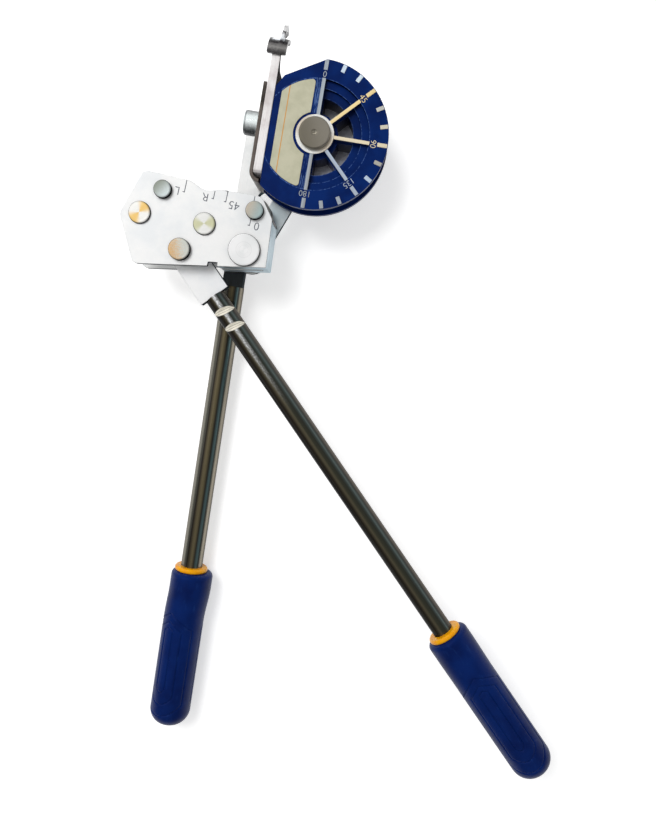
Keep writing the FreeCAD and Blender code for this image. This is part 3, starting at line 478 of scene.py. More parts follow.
@dataclass(frozen=True)
class SilverPaint(Finish):
    """Silver paint on the degree marks and the dial's numbers."""

    def draw(self, graph: MaterialGraph) -> None:
        """Paint the silver.

        Args:
            graph: The material's graph.
        """
        graph.surface({
            "Base Color": silver_paint(graph),
            "Roughness": 0.42,
            "Metallic": 0.15,
            "Normal": graph.bump(graph.noise(3.0, 2.0), 0.02),
        })


@dataclass(frozen=True)
class PrintedLabel(Finish):
    """The bare label: cream film with one thin orange line along the flat."""

    line_across: float = -17.0
    line_width: float = 0.5
    line_blur: float = 0.08

    def draw(self, graph: MaterialGraph) -> None:
        """Print the label.

        Args:
            graph: The material's graph.
        """
        across, _, _ = graph.split(graph.spot)
        cloud = graph.noise(0.12, 4.0, 0.6).rise(0.3, 0.7)
        film = graph.blend(cloud, ink(0xBAB89E), ink(0xC8C5AC))
        fibre = graph.noise(1.5, 2.0, stretch=(2.5, 0.7, 1.0))
        half = self.line_width / 2
        aside = abs(across - self.line_across)
        line = 1.0 - aside.rise(half - self.line_blur, half + self.line_blur)
        graph.surface({
            "Base Color": graph.blend(line * 0.9, film, ink(0xD08C2C)),
            "Roughness": 0.4 + 0.12 * fibre,
            "Coat Weight": 0.15,
            "Normal": graph.bump(fibre, 0.012),
        })


class Way(Enum):
    """The way that the brushing of a plate runs, as a stretch of its pattern."""

    ALONG = (2.2, 0.06, 1.0)
    NONE = (0.5, 0.5, 0.5)


@dataclass(frozen=True)
class ZincPlate(Finish):
    """Bright zinc on sheet steel, cloudy at large and finely brushed, with painted shade below a given place."""

    way: Way = Way.NONE
    light: Colour = ink(0xEEEEEC)
    dull: Colour = ink(0xCED0D0)
    rough: float = 0.34
    brushed: float = 0.5
    metal: float = 0.45
    edge_tint: Colour = (1.0, 1.0, 1.0, 1.0)
    shade_below: float | None = None
    shade_fade: float = 5.0

    def draw(self, graph: MaterialGraph) -> None:
        """Plate the steel.

        Args:
            graph: The material's graph.
        """
        cloud = graph.noise(0.05, 4.0, 0.6)
        brush = graph.noise(1.7, 3.0, 0.6, stretch=self.way.value)
        spangle = graph.noise(0.55, 2.0)
        plate = graph.blend(cloud.rise(0.4, 0.66), self.light, self.dull)
        plate = graph.blend(brush.rise(0.45, 0.75) * self.brushed, plate, self.dull)
        # Painted shade under the link: the plate goes dark below this place along its length.
        if self.shade_below is not None:
            _, along, _ = graph.split(graph.spot)
            link_shade = (self.shade_below - along).rise(0.0, self.shade_fade)
            plate = graph.blend(link_shade, plate, graph.blend(
                brush.rise(0.4, 0.7), ink(0x262E32), ink(0x161818)))
        graph.surface({
            "Base Color": plate,
            "Metallic": self.metal,
            "Specular Tint": self.edge_tint,
            "Roughness": self.rough - 0.06 + 0.16 * spangle + 0.08 * brush,
            "Normal": graph.bump(brush, 0.008),
        })


class Tint(Enum):
    """How a second colour lies on a turned face."""

    # Painted highlight: the bow-tie sheen of a turned face.
    SECTORS = "two opposite sectors"
    # Painted light, lighter toward one side.
    SLOPE = "from one side to the other"
    PATCH = "a mottled patch on one side"


@dataclass(frozen=True)
class TurnedSteel(Finish):
    """A turned steel face, with fine rings and a second colour: opposite sectors are a painted bow-tie highlight
    of the turning, a slope is painted light falling across the face, and a patch is a mottled patch on one side.
    """

    base: Colour = ink(0xE8E8E4)
    tinge: Colour = ink(0xCED0CA)
    tint: Tint = Tint.SECTORS
    toward: float = 45.0
    reach: float = 6.0
    rough: float = 0.3
    rings: float = 2.6
    metal: float = 0.7
    dimple: float = 0.0

    def place(self) -> Seat:
        """Turn the pattern toward its first sector."""
        return Seat(self.seat.point, self.seat.turn + self.toward)

    def draw(self, graph: MaterialGraph) -> None:
        """Turn the face.

        Args:
            graph: The material's graph.
        """
        across, along, up = graph.split(graph.spot)
        square = across * across + along * along
        radius = square.root()
        lay = graph.noise(1.0, 3.0, 0.6, spot=graph.join(radius * self.rings, up * 0.6, 0.0))
        fleck = graph.noise(1.3, 4.0, 0.65)
        # Sectors are painted sheen and the slope painted light; the patch is a mottled patch.
        if self.tint is Tint.SECTORS:
            mask = ((across * across - along * along) / (square + 0.05)).rise(-0.5, 1.0)
        elif self.tint is Tint.SLOPE:
            mask = (across / self.reach).rise(-0.9, 0.9)
        else:
            ragged = across + fleck * 14.0 - 6.4
            mask = (ragged / self.reach).rise(-0.5, 0.9) * (0.5 + 0.5 * fleck)
        steel = graph.blend(mask, self.base, self.tinge)
        steel = graph.blend(lay.rise(0.5, 0.72) * 0.22, steel, ink(0x787876))
        # Painted highlight: a bright ring in the dimple.
        if self.dimple > 0.0:
            glow = 1.0 - abs(radius - self.dimple).rise(0.1, 0.7)
            steel = graph.blend(glow * fleck.rise(0.4, 0.55) * 0.9, steel, ink(0xE2DCC6))
        graph.surface({
            "Base Color": steel,
            "Metallic": self.metal,
            "Roughness": self.rough - 0.05 + 0.14 * lay,
            "Normal": graph.bump(lay, 0.02),
        })


# Painted reflections round each tube: colours by turn in degrees from the top.
HANDLE_REFLECTIONS = shades(
    (-70, 0x96928A), (-38, 0x7A786E), (-17, 0x262321), (6, 0x766C52), (21, 0x302F2A),
    (33, 0x668082), (44, 0x484A46), (60, 0x9E9686), (82, 0x76726A))
LEVER_REFLECTIONS = shades(
    (-75, 0x2C2C2A), (-48, 0x161718), (-26, 0x3A352C), (-11, 0x625C4A), (2, 0x46463A),
    (18, 0x3C3E37), (34, 0x5C6866), (50, 0x3E3C39), (72, 0x68625B))


@dataclass(frozen=True)
class PolishedTube(Finish):
    """Plated tube drawn along its length, coloured in painted reflections of a room round it, with a painted glint
    and painted highlights at the crimps.
    """

    mouth: float = 0.0
    painted_reflections: Stops = ()
    glint: float = 0.0
    glint_turn: float = 2.0
    glint_run: float = 80.0
    edge_tint: Colour = (0.2, 0.19, 0.17, 1.0)
    crimp_highlight: Colour = ink(0xF6F0E0)
    crimps: tuple[float, ...] = ()
    crimp_slant: float = 0.9
    crimp_half: float = 2.1
    crimp_line: float = 0.62

    def draw(self, graph: MaterialGraph) -> None:
        """Plate and polish the tube, paint its reflections and glint, and paint a highlight with a darker crease
        line at each crimp.

        Args:
            graph: The material's graph.
        """
        across, along, up = graph.split(graph.spot)
        drawn = graph.noise(1.0, 3.0, 0.6, stretch=(1.2, 0.015, 1.2))
        cloud = graph.noise(1.6, 4.0, 0.65, stretch=(1.0, 0.5, 1.0))
        angle = graph.math("ARCTAN2", across, up)
        share = angle / math.pi + 0.5 + (drawn - 0.5) * 0.05
        chrome = graph.ramp(share, [(0.5 + turn / 180, shade) for turn, shade in self.painted_reflections])
        # Painted highlight: a bright streak along the tube, fading away from the mouth.
        fade = 1.0 - (0.0 - along).rise(self.mouth, self.mouth + self.glint_run)
        glint = 1.0 - abs(angle - math.radians(self.glint_turn)).rise(0.03, 0.3)
        glint = glint * fade * self.glint
        chrome = graph.blend(glint * (0.4 + 0.6 * cloud.rise(0.4, 0.6)), chrome, ink(0xF2F4F6))
        scratch = graph.noise(1.0, 2.0, stretch=(6.0, 0.12, 6.0))
        # At each crimp: a painted highlight over the lens, with a painted shade line along its crease.
        lens: Value | float = 0.0
        lines: Value | float = 0.0
        for crimp in self.crimps:
            off = abs(along + angle * self.crimp_slant + (self.mouth + crimp))
            lens = (self.crimp_half - angle * angle - off).rise(0.0, 0.3).most(lens)
            lines = (1.0 - abs(off - self.crimp_line).rise(0.06, 0.2)).most(lines)
        chrome = graph.blend(lens, chrome, self.crimp_highlight)
        chrome = graph.blend(lines * lens * 0.6, chrome, ink(0x605642))
        graph.surface({
            "Base Color": chrome,
            "Metallic": 0.6 - lens * 0.4,
            "Specular Tint": self.edge_tint,
            "Roughness": 0.16 + 0.08 * drawn + lens * 0.25,
            "Normal": graph.bump(scratch, 0.008),
        })


@dataclass(frozen=True)
class DarkPlate(Finish):
    """Cloudy two-tone steel with a lightly worn skin, in given light and deep colours: phosphated steel, the
    wheel's low walls, and painted shade on the walls of the plates, pins and latch.
    """

    light: Colour = ink(0x605A56)
    deep: Colour = ink(0x2E2B29)
    metallic: float = 1.0
    rough: float = 0.4
    grain: float = 0.006
    edge_tint: Colour = (0.12, 0.12, 0.12, 1.0)

    def draw(self, graph: MaterialGraph) -> None:
        """Darken the steel.

        Args:
            graph: The material's graph.
        """
        cloud = graph.noise(0.22, 4.0, 0.62)
        grain = graph.noise(2.4, 2.0)
        graph.surface({
            "Base Color": graph.blend(cloud.rise(0.35, 0.7), self.deep, self.light),
            "Metallic": self.metallic,
            "Specular Tint": self.edge_tint,
            "Roughness": self.rough - 0.08 + 0.16 * grain,
            "Normal": graph.bump(grain, self.grain),
        })


# Painted highlights and shade along the saddle, from its foot to its shoulder.
SADDLE_LIGHT_AND_SHADE = shades(
    (0.0, 0x2C2A2A), (0.12, 0x504E4E), (0.28, 0x92908E), (0.46, 0x686666), (0.56, 0x222022),
    (0.64, 0x3C3C40), (0.74, 0xF6FAFF), (0.92, 0xFAFCFF), (1.0, 0x6E6C6E))


@dataclass(frozen=True)
class SaddleChrome(Finish):
    """Chrome over the latch's cast saddle, in painted light and shade: painted highlights along it and over its
    top, painted shade where it turns away from the light and off its middle.
    """

    foot: float = 37.4
    shoulder: float = 48.8
    middle: float = -27.4

    def draw(self, graph: MaterialGraph) -> None:
        """Chrome the casting.

        Args:
            graph: The material's graph.
        """
        across, along, _ = graph.split(graph.spot)
        cloud = graph.noise(0.8, 3.0)
        share = (along + (cloud - 0.5) * 2.4 - self.foot) / (self.shoulder - self.foot)
        chrome = graph.ramp(share, SADDLE_LIGHT_AND_SHADE)
        # Painted shade off the saddle's middle, then a painted highlight over its top.
        middle = 1.0 - abs(across - self.middle).rise(2.4, 3.9)
        chrome = graph.blend(share.rise(0.55, 0.65) * (1.0 - middle) * 0.9, chrome, ink(0x222020))
        chrome = graph.blend(share.rise(1.02, 1.1) * 0.9, chrome, ink(0xEEEEEE))
        graph.surface({
            "Base Color": chrome,
            "Metallic": 0.5,
            "Roughness": 0.16 + 0.12 * cloud,
            "Normal": graph.bump(cloud, 0.006),
        })


@dataclass(frozen=True)
class ScrewSteel(Finish):
    """Polished steel of the latch's screw, with a painted highlight along the middle of its head and painted shade
    toward its edges and rim.
    """

    middle: float = 3.2
    rim: float = -38.6

    def draw(self, graph: MaterialGraph) -> None:
        """Polish the steel.

        Args:
            graph: The material's graph.
        """
        across, along, _ = graph.split(graph.spot)
        cloud = graph.noise(0.5, 3.0)
        # Painted highlight along the head's middle and painted shade toward its edges and its rim.
        aside = abs(along - self.middle + (cloud - 0.5) * 1.6)
        steel = graph.blend(aside.rise(1.6, 5.8), ink(0xF6FDFD), ink(0x424446))
        rim = 1.0 - abs(across - self.rim).rise(0.1, 0.7)
        graph.surface({
            "Base Color": graph.blend(rim * 0.7, steel, ink(0x787C7E)),
            "Metallic": 0.35,
            "Roughness": 0.2 + 0.14 * cloud,
            "Normal": graph.bump(cloud, 0.01),
        })


@dataclass(frozen=True)
class MouldedGrip(Finish):
    """Satin moulded plastic with a fine spark-eroded grain."""

    deep: Colour = ink(0x00164E)
    light: Colour = ink(0x022262)

    def draw(self, graph: MaterialGraph) -> None:
        """Mould the plastic.

        Args:
            graph: The material's graph.
        """
        cloud = graph.noise(0.07, 3.0)
        grain = graph.noise(3.2, 3.0, 0.6)
        rub = graph.noise(1.0, 4.0, 0.65, stretch=(0.5, 0.12, 0.5)).rise(0.56, 0.74)
        skin = graph.blend(cloud.rise(0.3, 0.7), self.deep, self.light)
        skin = graph.blend(rub * 0.18, skin, ink(0x285096))
        # Painted highlight along the contour grooves, lighter at their edges, and painted shade at their bottoms.
        groove = graph.result("ShaderNodeAttribute", {"attribute_name": "contour"}, output="Fac")
        skin = graph.blend(groove.rise(0.1, 0.4) * 0.35, skin, ink(0x345CA6))
        graph.surface({
            "Base Color": graph.blend(groove.rise(0.55, 0.9) * 0.9, skin, ink(0x000828)),
            "Roughness": 0.34 + 0.1 * grain + 0.1 * rub,
            "Specular IOR Level": 0.12,
            "Normal": graph.bump(grain, 0.02),
        })


@dataclass(frozen=True)
class GlossRing(Finish):
    """Glossy coloured plastic of a collar ring."""

    body: Colour = ink(0xFCB202)
    shade: Colour = ink(0xF49C00)

    def draw(self, graph: MaterialGraph) -> None:
        """Mould the ring.

        Args:
            graph: The material's graph.
        """
        cloud = graph.noise(0.3, 3.0)
        ripple = graph.noise(1.2, 2.0)
        graph.surface({
            "Base Color": graph.blend(cloud.rise(0.3, 0.7), self.body, self.shade),
            "Roughness": 0.18 + 0.1 * ripple,
            "Specular IOR Level": 0.3,
            "Normal": graph.bump(ripple, 0.012),
        })


@dataclass(frozen=True)
class EtchedLine(Finish):
    """The dull grey floor of the link's stamped marks."""

    def draw(self, graph: MaterialGraph) -> None:
        """Dull the stamped floor.

        Args:
            graph: The material's graph.
        """
        grain = graph.noise(1.8, 3.0)
        graph.surface({
            "Base Color": graph.blend(grain, ink(0x5C6270), ink(0x8C929E)),
            "Metallic": 0.3,
            "Roughness": 0.6 + 0.2 * grain,
        })


# Meshes

SMOOTH = 26.0  # degrees between two faces that still look like one
FLAT = 0.4  # degrees between two triangles of one flat face
CAD_GAP = 1e-6  # metres between two points of the solids that are one
TURNED = 0.7  # least cosine between a face and the way that it looks
CAPITAL = 0.73  # height of a capital in the font, as a share of its size
THINNED = 0.012  # how much thinner the strokes are, as a share of the height


class MeshTree(Graph):
    """A Geometry Nodes tree with named sizes that grows one mesh in millimetres."""

    def __init__(self, name: str, sizes: Mapping[str, float | int]) -> None:
        """Start a tree.

        Args:
            name: Name of the tree.
            sizes: Its inputs, by name, whole numbers for counts.
        """
        super().__init__(bpy.data.node_groups.new(name, "GeometryNodeTree"))
        plan = self.tree.interface
        plan.new_socket("Geometry", in_out="OUTPUT", socket_type="NodeSocketGeometry")
        for size, amount in sizes.items():
            kind = "NodeSocketInt" if isinstance(amount, int) else "NodeSocketFloat"
            plan.new_socket(size, in_out="INPUT", socket_type=kind)
        plan.new_socket("Finish", in_out="INPUT", socket_type="NodeSocketMaterial")
        self.sizes = dict(sizes)
        self.entry = self.node("NodeGroupInput")

    def size(self, name: str) -> Value:
        """Give one of the tree's named sizes."""
        return Value(self, self.entry.outputs[name])

    def close(self, *shapes: Value) -> None:
        """End the tree in Realize Instances and Set Material.

        Args:
            shapes: What the tree has made.
        """
        whole = self.result("GeometryNodeJoinGeometry", {}, {0: list(shapes)})
        real = self.result("GeometryNodeRealizeInstances", {}, {0: whole})
        dressed = self.result(
            "GeometryNodeSetMaterial", {}, {"Geometry": real, "Material": self.size("Finish")})
        self.node("NodeGroupOutput", {}, {0: dressed})

    def grow(self, finish: Finish) -> Mesh:
        """Run the tree with its sizes.

        Args:
            finish: The finish that it gives the mesh.

        Returns:
            The plain mesh, in millimetres.
        """
        holder = placed(self.tree.name, bpy.data.meshes.new(self.tree.name))
        modifier = holder.modifiers.new(self.tree.name, "NODES")
        modifier.node_group = self.tree
        amounts = {**self.sizes, "Finish": finish.material()}
        for item in self.tree.interface.items_tree:
            if item.in_out == "INPUT":
                modifier[item.identifier] = amounts[item.name]
        made = evaluated(holder)
        holder.modifiers.clear()
        bpy.data.objects.remove(holder)
        return made


def placed(name: str, data: bpy.types.ID) -> bpy.types.Object:
    """Stand a new object in the scene.

    Args:
        name: Its name.
        data: Its mesh, curve, lamp or lens.

    Returns:
        The object.
    """
    made = bpy.data.objects.new(name, data)
    bpy.context.scene.collection.objects.link(made)
    return made


@contextmanager
def shaping(mesh: Mesh) -> Iterator[bmesh.types.BMesh]:
    """Open a mesh to be edited and write it back after.

    Args:
        mesh: The mesh.

    Yields:
        Its editable shape.
    """
    shape = bmesh.new()
    shape.from_mesh(mesh)
    yield shape
    shape.to_mesh(mesh)
    shape.free()


def evaluated(holder: bpy.types.Object) -> Mesh:
    """Give an object's mesh with its modifiers applied."""
    seen = holder.evaluated_get(bpy.context.evaluated_depsgraph_get())
    return bpy.data.meshes.new_from_object(seen)


def worked(mesh: Mesh, modifiers: Iterable[Modifier]) -> Mesh:
    """Apply modifiers to a mesh.

    Args:
        mesh: The mesh to work on.
        modifiers: Their types and settings, in order.

    Returns:
        The new mesh.
    """
    holder = placed(mesh.name, mesh)
    for kind, settings in modifiers:
        modifier = holder.modifiers.new(kind.title(), kind)
        for name, setting in settings.items():
            setattr(modifier, name, setting)
    made = evaluated(holder)
    holder.modifiers.clear()
    bpy.data.objects.remove(holder)
    return made


def softened(mesh: Mesh, edge: float, smooth: float = SMOOTH) -> Mesh:
    """Round the sharp edges of a mesh and smooth its curved faces.

    Args:
        mesh: The mesh, in metres.
        edge: Width of the rounding, in millimetres.
        smooth: Largest angle between two faces that still look like one, in degrees.

    Returns:
        The finished mesh.
    """
    bevelled = worked(mesh, [("BEVEL", {
        "width": edge * MM, "segments": 2, "limit_method": "ANGLE",
        "angle_limit": math.radians(smooth + 2.0), "miter_outer": "MITER_ARC"})])
    return shaded(bevelled, smooth)


def shaded(mesh: Mesh, smooth: float = SMOOTH) -> Mesh:
    """Smooth a mesh's curved faces and let its large flat faces stay flat.

    Args:
        mesh: The mesh to shade.
        smooth: Largest angle between two faces that still look like one, in degrees.

    Returns:
        The shaded mesh.
    """
    mesh.shade_smooth()
    mesh.set_sharp_from_angle(angle=math.radians(smooth))
    return worked(mesh, [
        ("WEIGHTED_NORMAL", {"mode": "FACE_AREA", "weight": 100, "keep_sharp": True})])


def copy_of(node: str) -> Mesh:
    """Copy a CAD node's mesh with its loose triangles merged and its flat faces whole.

    Args:
        node: The CAD node.

    Returns:
        The bare copy.
    """
    mesh = frame["nodes"][node].data.copy()
    mesh.materials.clear()
    with shaping(mesh) as shape:
        bmesh.ops.remove_doubles(shape, verts=shape.verts, dist=CAD_GAP)
        bmesh.ops.dissolve_limit(
            shape, angle_limit=math.radians(FLAT), verts=shape.verts, edges=shape.edges)
    return mesh


@dataclass(frozen=True)
class Rule:
    """How a mesh's points move, in a seat's millimetres, and the seat that they move to."""

    seat: Seat
    move: Callable[[Vector], Vector]
    target: Seat | None = None


def reshaped(mesh: Mesh, rule: Rule) -> Mesh:
    """Move a mesh's points by a rule.

    Args:
        mesh: The mesh, in place.
        rule: Gives a point's new place from its old one.

    Returns:
        The same mesh.
    """
    home = rule.seat.matrix().inverted()
    place = (rule.target or rule.seat).matrix()
    for vertex in mesh.vertices:
        vertex.co = place @ rule.move(home @ vertex.co)
    return mesh


def walled(mesh: Mesh, finish: Finish, wall: Finish, tallest: float = 1.0,
           facing: Point | None = None) -> Mesh:
    """Give a mesh's upright faces, or those that face one way, a finish of their own.

    Args:
        mesh: The mesh, in place.
        finish: Finish of its level faces.
        wall: Finish of its upright faces.
        tallest: Height in metres above which an upright face isn't a cut edge.
        facing: The one way that counts, if not every upright one.

    Returns:
        The same mesh.
    """
    if not mesh.materials:
        mesh.materials.append(finish.material())
    mesh.materials.append(wall.material())
    last = len(mesh.materials) - 1
    for face in mesh.polygons:
        heights = [mesh.vertices[corner].co.z for corner in face.vertices]
        if facing is not None:
            picked = face.normal.dot(Vector(facing)) > TURNED
        else:
            picked = abs(face.normal.z) < TURNED
        if face.material_index == 0 and picked and max(heights) - min(heights) < tallest:
            face.material_index = last
    return mesh


def merged(meshes: Iterable[Mesh]) -> Mesh:
    """Put several meshes into one.

    Args:
        meshes: The meshes.

    Returns:
        The one mesh.
    """
    whole = bpy.data.meshes.new("merged")
    with shaping(whole) as shape:
        for mesh in meshes:
            shape.from_mesh(mesh)
    return whole


def closed(mesh: Mesh, gap: float) -> Mesh:
    """Merge a mesh's doubles, drop what they leave flat and turn its faces outwards.

    Args:
        mesh: The mesh.
        gap: Distance within which two points are one.

    Returns:
        The same mesh.
    """
    with shaping(mesh) as shape:
        bmesh.ops.remove_doubles(shape, verts=shape.verts, dist=gap)
        bmesh.ops.dissolve_degenerate(shape, dist=gap / 2, edges=shape.edges)
        bmesh.ops.recalc_face_normals(shape, faces=shape.faces)
    return mesh


def lettering(words: str, tall: float, thick: float) -> Mesh:
    """Make generic lettering as a mesh.

    Args:
        words: The letters or numbers.
        tall: Height of a capital, in millimetres.
        thick: How thick the letters are, in millimetres.

    Returns:
        The mesh, in millimetres, lying flat about its middle.
    """
    curve = bpy.data.curves.new(f"letters_{words}", "FONT")
    curve.body = words
    curve.size = tall / CAPITAL
    curve.extrude = thick / 2
    curve.offset = -THINNED * tall
    curve.resolution_u = 4
    curve.align_x = "CENTER"
    holder = placed(curve.name, curve)
    made = evaluated(holder)
    bpy.data.objects.remove(holder)
    made.transform(Matrix.Translation((0.0, -tall / 2, 0.0)))
    return closed(made, 1e-5)


def lathe(profile: Sequence[tuple[float, float]], steps: int) -> Mesh:
    """Turn a closed profile about the Y axis.

    Args:
        profile: Corners as (radius, distance along -Y), in millimetres.
        steps: Faces round the turn.

    Returns:
        The closed mesh, in millimetres.
    """
    mesh = bpy.data.meshes.new("turned")
    with shaping(mesh) as shape:
        rings = []
        for step in range(steps):
            turn = 2 * math.pi * step / steps
            rings.append([
                shape.verts.new((radius * math.sin(turn), -down, radius * math.cos(turn)))
                for radius, down in profile])
        for ring, following in zip(rings, rings[1:] + rings[:1]):
            for corner in range(len(profile)):
                after = (corner + 1) % len(profile)
                shape.faces.new((ring[corner], ring[after], following[after], following[corner]))
        bmesh.ops.recalc_face_normals(shape, faces=shape.faces)
    return mesh


def bar(middle: Point, wide: float, long: float, tall: float) -> Mesh:
    """Make a straight bar.

    Args:
        middle: Its middle, in millimetres.
        wide: Its size across.
        long: Its size along.
        tall: Its height.

    Returns:
        The bar's mesh.
    """
    mesh = bpy.data.meshes.new("bar")
    with shaping(mesh) as shape:
        size = Matrix.Diagonal((wide, long, tall, 1.0))
        bmesh.ops.create_cube(shape, size=1.0, matrix=Matrix.Translation(middle) @ size)
    return mesh


# Sub-assemblies

BODY_OF = {
    node: body
    for body, nodes in frame["record"]["behaviour"]["bodies"].items()
    for node in nodes
}


@dataclass
class SubAssembly(ABC):
    """A group of pieces that is built and dressed together."""

    pieces: list[bpy.types.Object] = field(default_factory=list, init=False)

    @abstractmethod
    def build(self) -> None:
        """Build and dress every piece of the group."""

    def add(self, name: str, mesh: Mesh, finish: Finish, body: str,
            *nodes: str) -> bpy.types.Object:
        """Put a finished mesh on the tool.

        Args:
            name: The piece's name.
            mesh: Its mesh, in metres and in place.
            finish: Its finish, unless the mesh brings its own.
            body: The CAD body that it rides on.
            nodes: CAD nodes that it stands for.

        Returns:
            The piece.
        """
        mesh.name = name
        if not mesh.materials:
            mesh.materials.append(finish.material())
        piece = placed(name, mesh)
        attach(piece, body)
        if nodes:
            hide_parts(*nodes)
        self.pieces.append(piece)
        LOG.info("%s: %d faces on %s", name, len(mesh.polygons), body)
        return piece

    def dress(self, node: str, finish: Finish, edge: float = 0.25, smooth: float = SMOOTH,
              wall: Finish | None = None, facing: Point | None = None,
              rule: Rule | None = None) -> None:
        """Stand a smooth copy with softened edges in a node's place.

        Args:
            node: The CAD node.
            finish: Its finish.
            edge: Width of the rounding along its edges, in millimetres.
            smooth: Largest angle between two faces that still look like one, in degrees.
            wall: Finish of its upright faces, if they differ.
            facing: The one way that those faces look, if only one counts.
            rule: How its points move, if they do.
        """
        mesh = copy_of(node)
        if rule is not None:
            mesh = reshaped(mesh, rule)
        mesh = softened(mesh, edge, smooth)
        if wall is not None:
            mesh = walled(mesh, finish, wall, facing=facing)
        self.add(f"{node}_surface", mesh, finish, BODY_OF[node], node)


@dataclass
class FormWheel(SubAssembly):
    """The cast wheel with its dial, label, axle and washers."""

    face: float = 9.5
    mark_count: int = 13
    mark_pitch: float = 15.0
    mark_reach: float = 38.7
    long_mark: float = 5.3
    short_mark: float = 4.1
    mark_width: float = 2.1
    mark_rise: float = 0.35
    number_circle: float = 31.35
    number_height: float = 3.2
    number_rise: float = 0.22
    mark_sunk: float = 0.4
    number_sunk: float = 0.2
    low_wall: float = 2.5

    def build(self) -> None:
        """Dress the casting, then add its marks, numbers, label and axle."""
        paint = CastPaint("wheel_paint", "wheel_blue", face=self.face)
        silver = SilverPaint("dial_silver", "wheel_blue")
        rim = DarkPlate(
            "wheel_rim", "wheel_blue", WHEEL, ink(0x042A70), ink(0x001E58), rough=0.45)
        casting = softened(copy_of("form_wheel"), 0.3)
        casting = walled(casting, paint, rim, self.low_wall * MM)
        self.add("form_wheel_surface", casting, paint, BODY_OF["form_wheel"], "form_wheel")
        self.dress("dial_ribs", paint, 0.14)
        self.add("degree_marks", self.degree_marks(silver), silver, "frame")
        self.add("dial_numbers", self.numbers(), silver, "frame")
        self.dress("dial_label", PrintedLabel("label_film", "label_cream"), 0.1)
        # The washer's sectors are painted sheen; the axle's slope is painted light across it and its dimple takes
        # a painted highlight.
        self.dress("hub_washer", TurnedSteel(
            "washer_steel", "bright_steel", WHEEL, ink(0xF8F8F4), ink(0xE2D6C4),
            toward=150.0, rough=0.22, metal=0.2), 0.18)
        self.dress("wheel_axle", TurnedSteel(
            "axle_face", "axle_steel", WHEEL, ink(0x807A6C), ink(0x989286), Tint.SLOPE,
            toward=20.0, reach=8.0, rough=0.36, rings=3.4, dimple=0.8))
        self.dress("arm_spacer", DarkPlate(
            "phosphated_washer", "washer_dark", WHEEL, ink(0xF4F6FF), ink(0xD6D6DE),
            metallic=0.85, rough=0.35), 0.2)
        zinc = ZincPlate("stack_zinc", "bright_steel", WHEEL)
        self.dress("arm_washer", zinc, 0.1)
        self.dress("axle_nut", zinc, 0.4)

    def degree_marks(self, silver: Finish) -> Mesh:
        """Set the raised degree marks round the rim, longer at every third.

        Args:
            silver: The finish of the marks.

        Returns:
            The marks, in place.
        """
        tree = MeshTree("degree_marks", {
            "Count": self.mark_count, "Pitch": self.mark_pitch, "Reach": self.mark_reach,
            "Long": self.long_mark, "Short": self.short_mark, "Width": self.mark_width,
            "Foot": self.face - self.mark_sunk, "Height": self.mark_rise + self.mark_sunk})
        points = tree.result("GeometryNodeMeshLine", {"mode": "OFFSET"}, {
            "Count": tree.size("Count"), "Offset": (0.0, 0.0, 0.0)})
        number = tree.result("GeometryNodeInputIndex")
        turn = tree.result("FunctionNodeEulerToRotation", {}, {
            0: tree.join(0.0, 0.0, number * tree.size("Pitch") * math.radians(-1.0))})
        third = (number % 3.0) < 0.5
        height = tree.size("Height")
        sets = []
        for length, picked in ((tree.size("Long"), third), (tree.size("Short"), 1.0 - third)):
            mark = tree.result("GeometryNodeMeshCube", {}, {
                "Size": tree.join(tree.size("Width"), length, height)})
            middle = tree.join(
                0.0, tree.size("Reach") - length * 0.5, tree.size("Foot") + height * 0.5)
            mark = tree.result(
                "GeometryNodeTransform", {}, {"Geometry": mark, "Translation": middle})
            sets.append(tree.result("GeometryNodeInstanceOnPoints", {}, {
                "Points": points, "Selection": picked, "Instance": mark, "Rotation": turn}))
        tree.close(*sets)
        mesh = tree.grow(silver)
        mesh.transform(WHEEL.matrix())
        return softened(mesh, 0.16)

    def numbers(self) -> Mesh:
        """Stand the dial's numbers between the marks and the ribs, tops outward.

        Returns:
            The numbers, in place.
        """
        thick = self.number_rise + self.number_sunk
        middle = Matrix.Translation(
            (0.0, self.number_circle, self.face - self.number_sunk + thick / 2))
        made = []
        for degrees in range(0, 181, 45):
            text = lettering(str(degrees), self.number_height, thick)
            text.transform(
                WHEEL.matrix() @ Matrix.Rotation(math.radians(-degrees), 4, "Z") @ middle)
            made.append(text)
        return merged(made)


